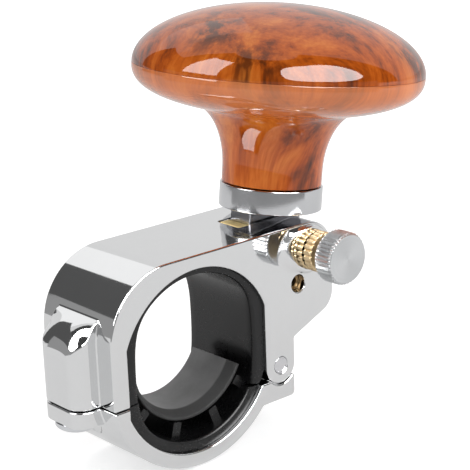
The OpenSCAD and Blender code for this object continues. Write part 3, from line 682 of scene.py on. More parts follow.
class MetalLook(bpy.types.PropertyGroup):
    """Shape and finish of the metal pieces."""

    cast_edge: FloatProperty(name="Casting edge", description="Rounding of the polished castings' edges",
                             default=0.35 * MM, unit="LENGTH")
    boss_crown: FloatProperty(name="Boss crown", description="Fall of the screw boss's top to its sides",
                              default=2.3 * MM, unit="LENGTH")
    chrome: FloatVectorProperty(name="Chrome", description="Colour of the polished castings",
                                subtype="COLOR", default=(0.77, 0.775, 0.78))
    steel: FloatVectorProperty(name="Steel", description="Colour of the plain steel pieces",
                               subtype="COLOR", default=(0.55, 0.55, 0.57))
    aluminium: FloatVectorProperty(name="Aluminium", description="Colour of the turned pieces",
                                   subtype="COLOR", default=(0.69, 0.7, 0.71))
    collar: FloatVectorProperty(name="Collar", description="Colour of the collar under the knob",
                                subtype="COLOR", default=(0.62, 0.625, 0.64))
    brass: FloatVectorProperty(name="Brass", description="Colour of the bush and the stop",
                               subtype="COLOR", default=(0.78, 0.6, 0.36))
    wheel_ridges: IntProperty(name="Wheel ridges", description="Ridges round the thumb wheel",
                              default=40, min=12)
    wheel_ridge_depth: FloatProperty(name="Wheel ridge depth", description="Depth between the ridges",
                                     default=0.4 * MM, unit="LENGTH")
    bush_ridges: IntProperty(name="Bush ridges", description="Ridges round the brass bush",
                             default=20, min=8)
    bush_ridge_depth: FloatProperty(name="Bush ridge depth", description="Depth between the bush's ridges",
                                    default=0.32 * MM, unit="LENGTH")
    thread_pitch: FloatProperty(name="Thread pitch", description="Pitch of the clamp screw's thread",
                                default=0.8 * MM, unit="LENGTH")


class RubberLook(bpy.types.PropertyGroup):
    """Shape and finish of the liners and the pad."""

    edge: FloatProperty(name="Liner edge", description="Rounding of the liners' inner edges",
                        default=0.7 * MM, unit="LENGTH")
    pad_edge: FloatProperty(name="Pad edge", description="Rounding of the pad's edges",
                            default=0.3 * MM, unit="LENGTH")
    pad_lip: FloatProperty(name="Pad lip", description="Depth of the sloped lip at the pad's front",
                           default=2.4 * MM, unit="LENGTH")
    pad_taper: FloatProperty(name="Pad taper", description="Angle over which the pad's left end thins out",
                             default=math.radians(40), subtype="ANGLE")
    liner_colour: FloatVectorProperty(name="Liner colour", description="Colour of the liners",
                                      subtype="COLOR", default=(0.0045, 0.0045, 0.005))
    pad_colour: FloatVectorProperty(name="Pad colour", description="Colour of the pad",
                                    subtype="COLOR", default=(0.17, 0.17, 0.17))


class StageLook(bpy.types.PropertyGroup):
    """Camera, lamps and backdrop."""

    camera_place: FloatVectorProperty(name="Camera place", description="Place of the camera",
                                      subtype="TRANSLATION", default=(-0.17886, -0.22941, 0.10968))
    camera_forward: FloatVectorProperty(name="Camera forward", description="Direction of view",
                                        default=(0.62599, 0.72354, -0.2909), precision=5)
    camera_up: FloatVectorProperty(name="Camera up", description="The picture's upward direction",
                                   default=(0.21832, 0.19551, 0.95609), precision=5)
    lens: FloatProperty(name="Lens", description="Focal length in millimetres", default=118.75)
    key_power: FloatProperty(name="Key power", description="Power of the front softbox in watts",
                             default=1.6)
    side_power: FloatProperty(name="Side power", description="Power of the left softbox in watts",
                              default=1.5)
    right_power: FloatProperty(name="Right power", description="Power of the right softbox in watts",
                               default=2.0)
    top_power: FloatProperty(name="Top power", description="Power of the overhead panel in watts",
                             default=1.5)
    world_light: FloatProperty(name="World light", description="Level of the light from all round",
                               default=0.5)
    world_glossy: FloatProperty(name="World in reflections", description="Level of the room in reflections",
                                default=0.82)
    floor_glossy: FloatProperty(name="Floor in reflections", description="Grey of the floor in reflections",
                                default=0.34)
    floor_glow: FloatProperty(name="Floor glow", description="Light added to the floor for the camera",
                              default=0.4)
    floor_mirror_glow: FloatProperty(name="Floor glow in reflections",
                                     description="Light added to the floor in reflections", default=0.47)
    room_level: FloatProperty(name="Dark room", description="Level of the dark room in front", default=0.06)
    wall_level: FloatProperty(name="Front wall", description="Level of the low wall in front", default=0.34)
    card_level: FloatProperty(name="Dark card", description="Level of the card at the back left",
                              default=0.1)
    strip_level: FloatProperty(name="Bright strip", description="Level of the strip behind", default=1.1)
    box_level: FloatProperty(name="Softbox glow", description="Level of the softboxes in reflections",
                             default=7.0)


GROUPS = {
    "spinner_knob": KnobLook,
    "spinner_metal": MetalLook,
    "spinner_rubber": RubberLook,
    "spinner_stage": StageLook,
}


# The wood knob

SEAM_GAP = 0.03 * MM

def oval_height(radius, widest, height, power):
    """Height of the curve (radius/widest)^power + (h/height)^power = 1."""
    share = np.clip(radius / widest, 0, 1)
    return height * (1 - share ** power) ** (1 / power)


def rim_radii(widest, narrowest, steps):
    """Radii from the widest to the narrowest, closer together near the widest."""
    t = np.linspace(0, 1, steps)
    return widest + (narrowest - widest) * np.sin(0.5 * math.pi * t) ** 2


class SPINNER_OT_wood_knob(bpy.types.Operator):
    """Lower shell and dome of the lacquered wood knob"""

    bl_idname = "spinner.wood_knob"
    bl_label = "Wood knob"

    def execute(self, context):
        look = context.scene.spinner_knob
        wood = burl_wood(look)
        show("knob_lower", build_mesh("knob_lower", [self.lower(look)]), "knob", wood,
             ("knob_shell",))
        show("knob_upper", build_mesh("knob_upper", [self.upper(look)]), "knob", wood,
             ("knob_dome",))
        shade(bpy.data.meshes["knob_lower"], 40)
        shade(bpy.data.meshes["knob_upper"], 40)
        return {"FINISHED"}

    def lower(self, look):
        """Neck, quarter-ellipse flare and full bulge outside; hub bore and hollow inside."""
        a = np.linspace(0, 0.5 * math.pi, 40)[:, None]
        join_height = look.seam_height - oval_height(look.flare_radius, look.radius, look.bulge_height,
                                                     look.bulge_power)
        flare = np.hstack([
            look.flare_radius - (look.flare_radius - look.neck_radius) * np.cos(a),
            look.flare_start + (join_height - look.flare_start) * np.sin(a),
        ])
        radii = rim_radii(look.radius, look.flare_radius + 0.6 * MM, 60)[::-1]
        heights = look.seam_height - oval_height(radii, look.radius, look.bulge_height, look.bulge_power)
        bulge = np.stack([radii, heights], axis=1)
        inner = rim_radii(look.radius - look.wall, look.neck_radius + 0.6 * MM, 30)
        inner_height = look.seam_height - oval_height(
            inner, look.radius - look.wall, look.bulge_height - look.wall, look.bulge_power)
        hollow = np.stack([inner, inner_height], axis=1)
        foot = look.neck_height
        edge = look.seam_round
        outline = np.concatenate([
            [[look.hub_radius, foot], [look.neck_radius - edge, foot],
             [look.neck_radius - 0.3 * edge, foot + 0.3 * edge]],
            flare,
            bulge[:-3],
            [[look.radius - 0.05 * edge, look.seam_height - edge],
             [look.radius - 0.35 * edge, look.seam_height - 0.35 * edge],
             [look.radius - edge, look.seam_height]],
            hollow,
            [[look.neck_radius + 0.6 * MM, look.hub_top], [look.hub_radius, look.hub_top]],
        ])
        return turned(outline, KNOB_FOOT, KNOB_AXIS, 256)

    def upper(self, look):
        """Half-ellipse dome outside and inside, joined at the seam."""
        outer = rim_radii(look.radius, 0.0, 90)
        dome = np.stack([outer, look.seam_height + oval_height(outer, look.radius, look.dome_height, 2)], 1)
        inner = rim_radii(look.radius - look.wall, 0.0, 40)[::-1]
        hollow = np.stack([inner, look.seam_height + oval_height(
            inner, look.radius - look.wall, look.dome_height - look.wall, 2)], 1)
        edge = look.seam_round
        seam = [[look.radius - edge, look.seam_height + SEAM_GAP],
                [look.radius - 0.35 * edge, look.seam_height + SEAM_GAP + 0.35 * edge]]
        outline = np.concatenate([seam, dome[2:], hollow])
        return turned(outline, KNOB_FOOT, KNOB_AXIS, 256)


# The post: ferrule, tongue and what it leans on

class SPINNER_OT_ferrule(bpy.types.Operator):
    """Turned collar under the knob's neck"""

    bl_idname = "spinner.ferrule"
    bl_label = "Ferrule"

    foot: FloatProperty(name="Foot", description="Height of the foot above the pivot", default=14.1 * MM)
    height: FloatProperty(name="Height", description="Height of the collar", default=4.9 * MM)
    radius: FloatProperty(name="Radius", description="Radius of the collar", default=10.7 * MM)
    flange: FloatProperty(name="Flange", description="Height of the seat inside", default=3 * MM)

    def execute(self, context):
        look = context.scene.spinner_metal
        seat = self.radius - 1.48 * MM
        top = self.foot + self.height
        outline = rounded(
            [
                (seat, self.foot), (self.radius, self.foot), (self.radius, top), (5 * MM, top),
                (5 * MM, self.foot + self.flange), (seat, self.foot + self.flange),
            ],
            [0, 0.2 * MM, 0.22 * MM, 0.1 * MM, 0, 0], steps=5,
        )
        mesh = build_mesh("ferrule_collar", [turned(outline, KNOB_FOOT, KNOB_AXIS, 200)])
        shade(mesh, 35)
        material = turned_metal("satin_collar", look.collar, 0.13, 0.19, KNOB_FOOT, KNOB_AXIS)
        show("ferrule_collar", mesh, "fold_arm", material, ("ferrule",))
        return {"FINISHED"}


class SPINNER_OT_post(bpy.types.Operator):
    """Folding tongue, the brass stop beside it and the rolled pin it turns on"""

    bl_idname = "spinner.post"
    bl_label = "Folding post"

    def execute(self, context):
        look = context.scene.spinner_metal
        satin = metal("satin_tongue", (0.34, 0.34, 0.36), 0.14, 0.22)
        cast_copy("tongue", "folding_tongue", "fold_arm", satin, 0.25 * MM)
        # Painted light: the stop's brass is brighter than the bush's, to make up for the ferrule's shade over it
        brass = metal("brightened_stop_brass", (1.0, 0.82, 0.42), 0.45, 0.55)
        cast_copy("slot_stop", "brass_stop", "clamp", brass, 0.18 * MM)
        bronze = metal("rolled_pin_metal", (0.3, 0.2, 0.1), 0.25, 0.45)
        low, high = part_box("fold_pin")
        show("rolled_pin", self.rolled_pin(low.y, high.y), "clamp", bronze, ("fold_pin",))
        return {"FINISHED"}

    def rolled_pin(self, start, end):
        """A rolled strip: a rounded wall section carried along most of a circle round Y, leaving a slit."""
        wall = rounded([(0.99 * MM, start), (1.8 * MM, start), (1.8 * MM, end), (0.99 * MM, end)], 0.2 * MM, 4)
        slit = math.radians(140)
        angle = np.linspace(slit + 0.16, slit + TURN - 0.16, 72)
        radius = wall[:, 0][:, None]
        points = np.stack([
            FOLD_PIVOT[0] + radius * np.cos(angle),
            np.broadcast_to(wall[:, 1][:, None], (len(wall), len(angle))),
            FOLD_PIVOT[2] + radius * np.sin(angle),
        ], axis=-1)
        # both slit faces close to the middle of the wall
        ends = np.broadcast_to(points.mean(axis=0), points.shape)
        points = np.concatenate([ends[:, :1], points, ends[:, -1:]], axis=1)
        mesh = build_mesh("rolled_pin", [surface(points, close_rows=True)])
        shade(mesh, 35)
        return mesh


class SPINNER_OT_swivel(bpy.types.Operator):
    """Finishes of the stud, bearings, washers and nut inside the knob"""

    bl_idname = "spinner.swivel"
    bl_label = "Swivel bearings"

    def execute(self, context):
        look = context.scene.spinner_metal
        steel = metal("plain_steel", look.steel, 0.2, 0.34)
        ground = metal("ground_steel", (0.66, 0.67, 0.7), 0.1, 0.2)
        balls = metal("ball_steel_polish", (0.85, 0.85, 0.87), 0.03, 0.06)
        brass = metal("cage_brass", look.brass, 0.22, 0.34)
        for node in ("stud", "shim_washer", "inner_spacer", "lock_washer", "lock_nut", "bearing_clip"):
            finish_node(node, steel)
        for node in ("lower_inner_race", "upper_inner_race", "lower_outer_race", "upper_outer_race"):
            finish_node(node, ground)
        for node in ("lower_balls", "upper_balls"):
            finish_node(node, balls)
        for node in ("lower_cage", "upper_cage"):
            finish_node(node, brass)
        return {"FINISHED"}


# The clamp

class SPINNER_OT_castings(bpy.types.Operator):
    """Polished upper clamp and hinged jaw"""

    bl_idname = "spinner.castings"
    bl_label = "Clamp castings"

    def execute(self, context):
        look = context.scene.spinner_metal
        chrome = metal("polished_casting", look.chrome, 0.045, 0.085, scale=60.0, dark=0.97)
        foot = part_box("clamp_screw")[1]

        top = foot.x - 2.9 * MM

        def on_boss(points):
            """Whether points lie on the top of the screw's boss."""
            x, y, z = points.T
            return (x < top + 0.2 * MM) & (np.abs(y) < 6.6 * MM) & (z > foot.z + 4.5 * MM)

        def drop(x, y):
            """The crown: the cube of the share of the boss's half width, fading out at the shoulder."""
            fade = np.clip((top - x) / (3 * MM), 0, 1)
            return look.boss_crown * np.abs(y / (6.4 * MM)) ** 3 * fade * fade * (3 - 2 * fade)

        cast_copy("upper_clamp", "clamp_casting", "clamp", chrome, look.cast_edge, 3,
                  (on_boss, 6 * MM, drop))
        cast_copy("lower_jaw", "jaw_casting", "jaw", chrome, look.cast_edge)
        return {"FINISHED"}


def opening_radius(angle, round_radius, half_flats, sharpness=None):
    """Distance from the opening's centre to its wall: the circle, cut by the two flat sides.

    With a sharpness p the corner is rounded: (circle^-p + flat^-p)^(-1/p)."""
    flat = half_flats / np.maximum(np.abs(np.cos(angle)), 1e-6)
    if sharpness is None:
        return np.minimum(round_radius, flat)
    return (round_radius ** -sharpness + flat ** -sharpness) ** (-1 / sharpness)


def lined_wall(section, centre, outer, inner, outer_ends, inner_ends, steps):
    """A wall between two outlines round the opening, with a rounded section.

    A section point (share, y) lies at that share of the way from the inner to the outer outline.
    Each outline runs between its own two end angles, so an end can lie on a flat plane."""
    t = np.linspace(0, 1, steps)
    outer_angle = outer_ends[0] + (outer_ends[1] - outer_ends[0]) * t
    inner_angle = inner_ends[0] + (inner_ends[1] - inner_ends[0]) * t
    outer_point = outer(outer_angle)[:, None] * np.stack([np.cos(outer_angle), np.sin(outer_angle)], 1)
    inner_point = inner(inner_angle)[:, None] * np.stack([np.cos(inner_angle), np.sin(inner_angle)], 1)
    share = section[:, :1][:, None]
    flat = inner_point[None] + (outer_point - inner_point)[None] * share
    points = np.stack([
        centre[0] + flat[..., 0],
        np.broadcast_to(section[:, 1][:, None], flat.shape[:2]),
        centre[2] + flat[..., 1],
    ], axis=-1)
    caps = np.broadcast_to(points.mean(axis=0), points.shape)
    points = np.concatenate([caps[:, :1], points, caps[:, -1:]], axis=1)
    return surface(points, close_rows=True)


class SPINNER_OT_liners(bpy.types.Operator):
    """Black rubber liners of the clamp and the jaw, and the grey pad strip"""

    bl_idname = "spinner.liners"
    bl_label = "Rubber liners"

    centre_drop: FloatProperty(name="Centre drop", description="Opening's centre below the pad's",
                               default=1.6 * MM)
    outer_radius: FloatProperty(name="Outer radius", description="Back of the liners", default=18.78 * MM)
    half_flats: FloatProperty(name="Half flats", description="Back of the liners at the flats",
                              default=17.43 * MM)
    crown: FloatProperty(name="Crown", description="Thickness of the upper liner", default=1.4 * MM)
    side: FloatProperty(name="Side", description="Thickness at the flats", default=2.5 * MM)
    jaw: FloatProperty(name="Jaw", description="Thickness of the lower liner", default=2.2 * MM)
    pad_radius: FloatProperty(name="Pad radius", description="Inner radius of the pad", default=12.7 * MM)
    pad_thickness: FloatProperty(name="Pad thickness", description="Thickness of the pad", default=1.8 * MM)

    def execute(self, context):
        look = context.scene.spinner_rubber
        black = rubber("liner_rubber_finish", look.liner_colour, 0.2, 0.34, 2600.0, 0.00002)
        grey = rubber("pad_rubber_finish", look.pad_colour, 0.6, 0.75, 1600.0, 0.00016)
        centre = np.array([0.0, 0.0, -self.centre_drop])
        for node, name, thickness, body in (
            ("upper_liner", "clamp_liner", self.crown, "clamp"),
            ("lower_liner", "jaw_liner", self.jaw, "jaw"),
        ):
            low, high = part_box(node)
            section = self.section(low.y, high.y, look.edge)
            ends = self.ends(node, thickness, low, high)
            wall = lined_wall(
                section, centre,
                lambda a: opening_radius(a, self.outer_radius, self.half_flats),
                lambda a: opening_radius(a, 18.8 * MM - thickness, 17.45 * MM - self.side, 12.0),
                ends[0], ends[1], 260,
            )
            parts = [wall]
            if node == "lower_liner":
                parts += self.ribs(centre)
            mesh = build_mesh(name, parts)
            shade(mesh, 38)
            show(name, mesh, body, black, (node,))
        low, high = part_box("rim_pad")
        lip = look.pad_lip
        darken_front(grey, low.y + 0.9 * lip, low.y + 1.05 * lip, 0.12)
        t = self.pad_thickness
        pad = rounded([(0, low.y + lip), (0.6 * t, low.y), (t, low.y), (t, high.y), (0, high.y)],
                      look.pad_edge, 4)
        pad = densified(pad, 1.0 * MM) / (t, 1)
        ends = np.radians([-205, -28])
        strip = lined_wall(
            pad, np.zeros(3),
            lambda a: np.full_like(a, self.pad_radius + t),
            lambda a: self.pad_radius + 0.75 * t * (1 - np.clip((a - ends[0]) / look.pad_taper, 0, 1)) ** 2,
            ends, ends, 180,
        )
        mesh = build_mesh("pad_strip", [strip])
        shade(mesh, 38)
        show("pad_strip", mesh, "clamp", grey, ("rim_pad",))
        return {"FINISHED"}

    def section(self, start, end, edge, both=False):
        """Section of a liner as shares of its thickness and Y: square behind, rounded at the inner edges."""
        t = 2.2 * MM
        corners = rounded([(0, start), (t, start), (t, end), (0, end)],
                          [edge, edge if both else 0.1 * MM, edge if both else 0.1 * MM, edge], 5)
        corners = densified(corners, 1.5 * MM)
        return np.stack([corners[:, 0] / t, corners[:, 1]], axis=1)

    def ends(self, node, thickness, low, high):
        """End angles of both outlines, where they meet the flat planes at the parting and at the hinge."""
        drop = self.centre_drop
        if node == "upper_liner":
            left = 4.5 * MM
            right = -(low.z + drop)
            flips = (math.pi, 0.0)
        else:
            left = 4.8 * MM
            right = 9.94 * MM
            flips = (-math.pi, 0.0)
        ends = []
        for round_radius, flats in (
            (self.outer_radius, self.half_flats),
            (18.8 * MM - thickness, 17.45 * MM - self.side),
        ):
            angles = []
            for depth in (left, right):
                x = min(flats, math.sqrt(round_radius ** 2 - depth ** 2))
                angles.append(math.atan2(depth, x))
            if node == "upper_liner":
                ends.append((math.pi + angles[0], -angles[1]))
            else:
                ends.append((-math.pi + angles[0], -angles[1]))
        return ends

    def ribs(self, centre):
        """Four moulded ribs: rounded bars from the liner's face towards the pad."""
        bars = []
        low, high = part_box("rim_pad")
        for degrees in (-140, -105, -70, -40):
            a = math.radians(degrees)
            outward = np.array([math.cos(a), 0, math.sin(a)])
            across = np.array([-math.sin(a), 0, math.cos(a)])
            root = 18.8 * MM - self.jaw
            drop = -centre[2]
            # distance to the liner's face along the rib, from the circle's equation about the lower centre
            reach = math.sqrt(root ** 2 - (drop * math.cos(a)) ** 2) - drop * math.sin(a)
            tip = self.pad_radius + self.pad_thickness + 0.3 * MM
            if reach + 0.3 * MM <= tip:
                continue
            outline = rounded([(tip, -1 * MM), (reach + 0.5 * MM, -1 * MM), (reach + 0.5 * MM, 1 * MM), (tip, 1 * MM)],
                              [0.3 * MM, 0, 0, 0.3 * MM], 4)
            flat = outline[:, :1] * outward + outline[:, 1:] * across
            y = np.array([low.y, low.y, high.y, high.y])
            scale = np.array([0.0, 1.0, 1.0, 0.0])
            mid = flat.mean(axis=0)
            rows = mid + (flat[None] - mid) * scale[:, None, None]
            rows = rows + y[:, None, None] * ALONG_RIM
            bars.append(surface(rows, close_columns=True))
        return bars


class SPINNER_OT_hinge(bpy.types.Operator):
    """Riveted hinge pin of the jaw"""

    bl_idname = "spinner.hinge"
    bl_label = "Hinge pin"

    radius: FloatProperty(name="Radius", description="Radius of the pin", default=1.75 * MM)

    def execute(self, context):
        low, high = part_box("hinge_pin")
        r = self.radius
        outline = rounded(
            [
                (0, low.y + 0.12 * MM), (0.78 * r, low.y + 0.12 * MM), (0.84 * r, low.y), (r, low.y),
                (r, high.y), (0.84 * r, high.y), (0.78 * r, high.y - 0.12 * MM), (0, high.y - 0.12 * MM),
            ],
            [0, 0.05 * MM, 0.05 * MM, 0.15 * MM, 0.15 * MM, 0.05 * MM, 0.05 * MM, 0], 3,
        )
        origin = np.array([HINGE_PIVOT[0], 0.0, HINGE_PIVOT[2]])
        mesh = build_mesh("riveted_pin", [turned(outline, origin, ALONG_RIM, 96)])
        shade(mesh, 30)
        steel = turned_metal("pin_steel", (0.7, 0.7, 0.72), 0.12, 0.25, origin, ALONG_RIM)
        show("riveted_pin", mesh, "clamp", steel, ("hinge_pin",))
        return {"FINISHED"}


class SPINNER_OT_clamp_screw(bpy.types.Operator):
    """Threaded clamp screw with its low domed head"""

    bl_idname = "spinner.clamp_screw"
    bl_label = "Clamp screw"

    root_radius: FloatProperty(name="Root radius", description="Root of the thread", default=2.0 * MM)
    crest: FloatProperty(name="Crest", description="Height of the thread", default=0.35 * MM)
    head_radius: FloatProperty(name="Head radius", description="Radius of the head", default=4.35 * MM)
    head_height: FloatProperty(name="Head height", description="Height of the head", default=2.1 * MM)

    def execute(self, context):
        look = context.scene.spinner_metal
        low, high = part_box("clamp_screw")
        origin = np.array([(low.x + high.x) / 2, 0.0, low.z])
        h = self.head_height
        r = self.head_radius
        crown = np.linspace(0, 1, 14)
        dome = np.stack([
            1.6 * MM + (r - 1.6 * MM) * crown,
            1.15 * MM * (1 - np.sqrt(1 - (0.94 * crown) ** 2)) / (1 - math.sqrt(1 - 0.94 ** 2)),
        ], axis=1)
        head = np.concatenate([
            [(0, 1.2 * MM), (1.55 * MM, 1.2 * MM), (1.6 * MM, 0.08 * MM)], dome[1:],
            [(r, 1.25 * MM), (r, h - 0.15 * MM), (r - 0.15 * MM, h), (0, h)],
        ])
        shank = self.thread(h - 0.1 * MM, high.z - low.z, look.thread_pitch)
        first, second = side_of(UP)
        mesh = build_mesh("threaded_screw", [turned(head, origin, UP, 128), self.placed(shank, origin)])
        shade(mesh, 30)
        steel = metal("screw_steel", (0.72, 0.73, 0.75), 0.08, 0.16)
        show("threaded_screw", mesh, "screw", steel, ("clamp_screw",))
        return {"FINISHED"}

    def thread(self, start, end, pitch):
        """Radius over height and angle: root plus a triangle wave of height/pitch minus the turn."""
        height = np.arange(start, end, pitch / 8)
        angle = np.arange(48) * TURN / 48
        phase = (height[:, None] / pitch - angle[None] / TURN) % 1.0
        wave = 1 - np.abs(2 * phase - 1)
        fade = np.clip((end - height) / (1.5 * pitch), 0, 1)[:, None]
        radius = self.root_radius + self.crest * wave * fade
        radius = np.concatenate([np.zeros((1, 48)), radius, np.zeros((1, 48))])
        height = np.concatenate([height[:1], height, height[-1:]])
        return radius, height, angle

    def placed(self, thread, origin):
        radius, height, angle = thread
        points = np.stack([
            origin[0] + radius * np.cos(angle),
            origin[1] + radius * np.sin(angle),
            np.broadcast_to(origin[2] + height[:, None], radius.shape),
        ], axis=-1)
        return surface(points, close_columns=True)


# The lock

class SPINNER_OT_bush(bpy.types.Operator):
    """Knurled brass bush with two bands and its shank"""

    bl_idname = "spinner.bush"
    bl_label = "Brass bush"

    radius: FloatProperty(name="Radius", description="Radius of the bands", default=4.2 * MM)
    groove: FloatProperty(name="Groove", description="Width of the groove between the bands",
                          default=0.5 * MM)
    length: FloatProperty(name="Length", description="Length in front of the clamp", default=4.9 * MM)
    collar_radius: FloatProperty(name="Collar radius", description="Foot of the casting's raised collar",
                                 default=5.5 * MM)
    collar_reach: FloatProperty(name="Collar reach", description="Foot's extra reach towards the clamp",
                                default=3.7 * MM)
    collar_height: FloatProperty(name="Collar height", description="Height of the casting's raised collar",
                                 default=0.9 * MM)

    def execute(self, context):
        look = context.scene.spinner_metal
        low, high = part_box("plunger_bush")
        centre = spot("plunger_bush")
        origin = np.array([centre[0], low.y, centre[2]])
        full = high.y - low.y
        band = (self.length - self.groove) / 2
        r = self.radius
        c = 0.35 * MM
        outline = rounded(
            [
                (1.15 * MM, 0), (r, 0), (r, band), (r - 1.1 * MM, band),
                (r - 1.1 * MM, band + self.groove), (r, band + self.groove),
                (r, self.length), (3 * MM, self.length), (3 * MM, full), (2.3 * MM, full),
                (2.3 * MM, 1.2 * MM), (1.15 * MM, 1.2 * MM),
            ],
            [0.1 * MM, c, c, 0, 0, c, c, 0, 0.1 * MM, 0, 0, 0], 5,
        )
        outline = densified(outline, 0.4 * MM)
        count = look.bush_ridges
        depth = look.bush_ridge_depth

        def knurl(angle, radius, height):
            """Scallops on the bands only: the second band's are half a step round."""
            near_rim = np.clip((radius - (r - 0.75 * MM)) / (0.6 * MM), 0, 1)
            shift = np.where(height > band + self.groove / 2, 0.5, 0.0)
            wave = np.abs(np.sin((angle * count / TURN + shift) * math.pi))
            return radius - depth * (1 - wave) ** 1.4 * near_rim * (height < self.length + 1e-6)

        mesh = build_mesh("knurled_bush", [turned(outline, origin, ALONG_RIM, count * 14, knurl)])
        shade(mesh, 40)
        brass = metal("bush_brass", look.brass, 0.34, 0.42)
        # Painted shade: the brass is darkened in the groove between the two bands
        paint_groove_shade(brass, low.y + self.length / 2, self.groove + 0.06 * MM, 0.08)
        show("knurled_bush", mesh, "clamp", brass, ("plunger_bush",))
        self.collar(look, np.array([centre[0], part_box("upper_clamp")[0].y, centre[2]]))
        return {"FINISHED"}

    def collar(self, look, origin):
        """A low flared ring that the casting raises round the bush: a cosine slope up to a flat top.

        Its foot reaches further towards the clamp, by the cube of the cosine of the angle from there,
        and stays inside the face: below the flat top edge and within the arc round its front end."""
        inner = self.radius + 0.08 * MM
        top = self.radius + 0.35 * MM
        t = np.linspace(0, 1, 20)
        slope = np.stack([
            self.collar_radius - (self.collar_radius - top) * t,
            -self.collar_height * 0.5 * (1 - np.cos(math.pi * t)),
        ], axis=1)
        outline = np.concatenate([slope, [(inner, -self.collar_height), (inner, 0.3 * MM),
                                          (self.collar_radius, 0.3 * MM)]])
        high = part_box("upper_clamp")[1]
        first, second = side_of(ALONG_RIM)
        clampward = math.radians(170)
        above = high.z - origin[2]
        round_end = high.x - origin[0]
        below = round_end - above

        def foot(angle, radius, height):
            """Carries the slope out to the foot's own radius at each angle."""
            x = np.cos(angle) * first[0] + np.sin(angle) * second[0]
            z = np.cos(angle) * first[2] + np.sin(angle) * second[2]
            lean = np.maximum(0, x * math.cos(clampward) + z * math.sin(clampward))
            reach = self.collar_radius + self.collar_reach * lean ** 3
            flat_edge = above / np.maximum(z, 1e-3)
            arc_edge = np.sqrt(round_end ** 2 - (below * x) ** 2) - below * z
            edge = np.where(x < 0, flat_edge, arc_edge) - 0.42 * MM
            share = np.clip((radius - top) / (self.collar_radius - top), 0, None)
            return radius + share * (np.minimum(reach, edge) - self.collar_radius)

        mesh = build_mesh("bush_collar", [turned(outline, origin, ALONG_RIM, 160, foot)])
        shade(mesh, 35)
        chrome = metal("polished_casting", look.chrome, 0.045, 0.085, scale=60.0, dark=0.97)
        show("bush_collar", mesh, "clamp", chrome)


class SPINNER_OT_thumb_wheel(bpy.types.Operator):
    """Straight-knurled thumb wheel with a lathe-turned face, and the pull pin's finish"""

    bl_idname = "spinner.thumb_wheel"
    bl_label = "Thumb wheel"

    radius: FloatProperty(name="Radius", description="Radius of the wheel", default=5.4 * MM)
    chamfer: FloatProperty(name="Chamfer", description="Chamfer of both rims", default=0.55 * MM)

    def execute(self, context):
        look = context.scene.spinner_metal
        low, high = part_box("thumb_wheel")
        centre = spot("thumb_wheel")
        origin = np.array([centre[0], low.y, centre[2]])
        t = high.y - low.y
        r = self.radius
        c = self.chamfer
        outline = densified(np.array([
            (0, 0), (r - c, 0), (r, c), (r, t - c), (r - c, t), (1.15 * MM, t),
            (1.15 * MM, 1.55 * MM), (0, 1.55 * MM),
        ]), 0.35 * MM)
        count = look.wheel_ridges
        depth = look.wheel_ridge_depth

        def knurl(angle, radius, height):
            """A rounded triangle wave round the rim, which dies out on the chamfers."""
            wave = np.abs(2 * ((angle * count / TURN) % 1.0) - 1) ** 0.85
            return radius - depth * wave * np.clip((radius - (r - 0.8 * c)) / (0.5 * c), 0, 1)

        mesh = build_mesh("knurled_wheel", [turned(outline, origin, ALONG_RIM, count * 8, knurl)])
        shade(mesh, 32)
        # The wheel's face carries a painted two-lobed highlight in its colour
        face = turned_metal("turned_aluminium", look.aluminium, 0.27, 0.3, origin, ALONG_RIM,
                            line_scale=1500.0, depth=0.000006, sheen=0.12)
        show("knurled_wheel", mesh, "plunger", face, ("thumb_wheel",))
        steel = metal("plain_steel", look.steel, 0.2, 0.34)
        finish_node("pull_pin", steel)
        finish_node("plunger_spring", steel)
        return {"FINISHED"}


# The stage

def sky_patch(name, azimuths, elevations, radius, material, power=0.0):
    """Part of a sphere round the origin, between two azimuths and two elevations in degrees.

    The point is radius * (cos e cos a, cos e sin a, sin e). Only reflections see it.
    With a power p, the half height shrinks by (1 - |s|^p)^(1/p) towards both ends, s being -1 to 1."""
    s = np.linspace(-1, 1, 41)[None, :]
    a = np.radians(0.5 * (azimuths[0] + azimuths[1]) + 0.5 * (azimuths[1] - azimuths[0]) * s)
    shrink = (1 - np.abs(s) ** power + 1e-4) ** (1 / power) if power else 1.0
    half = 0.5 * (elevations[1] - elevations[0]) * shrink
    e = np.radians(0.5 * (elevations[0] + elevations[1]) + half * np.linspace(-1, 1, 17)[:, None])
    points = radius * np.stack(np.broadcast_arrays(np.cos(e) * np.cos(a), np.cos(e) * np.sin(a), np.sin(e)), -1)
    vertices, faces = surface(points)
    mesh = bpy.data.meshes.new(name)
    mesh.from_pydata(vertices.tolist(), [], faces.tolist())
    sheet = bpy.data.objects.new(name, mesh)
    bpy.context.scene.collection.objects.link(sheet)
    mesh.materials.append(material)
    for kind in ("camera", "diffuse", "shadow", "transmission", "volume_scatter"):
        setattr(sheet, "visible_" + kind, False)
    sheet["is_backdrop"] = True


def glow_material(name, level):
    """A plain glowing surface of one grey level."""
    material, tree, shader = plain_material(name)
    shader.inputs["Base Color"].default_value = (0, 0, 0, 1)
    shader.inputs["Roughness"].default_value = 1.0
    shader.inputs["Specular IOR Level"].default_value = 0.0
    shader.inputs["Emission Color"].default_value = (1, 1, 1, 1)
    shader.inputs["Emission Strength"].default_value = level
    return material


def softbox(name, place, aim, width, height, watts):
    """A rectangular area lamp that faces a point."""
    lamp = bpy.data.lights.new(name, "AREA")
    lamp.shape = "RECTANGLE"
    lamp.size = width
    lamp.size_y = height
    lamp.energy = watts
    holder = bpy.data.objects.new(name, lamp)
    bpy.context.scene.collection.objects.link(holder)
    forward = (Vector(aim) - Vector(place)).normalized()
    holder.matrix_world = Matrix.Translation(place) @ forward.to_track_quat("-Z", "Y").to_matrix().to_4x4()
    holder.visible_glossy = False
    return holder


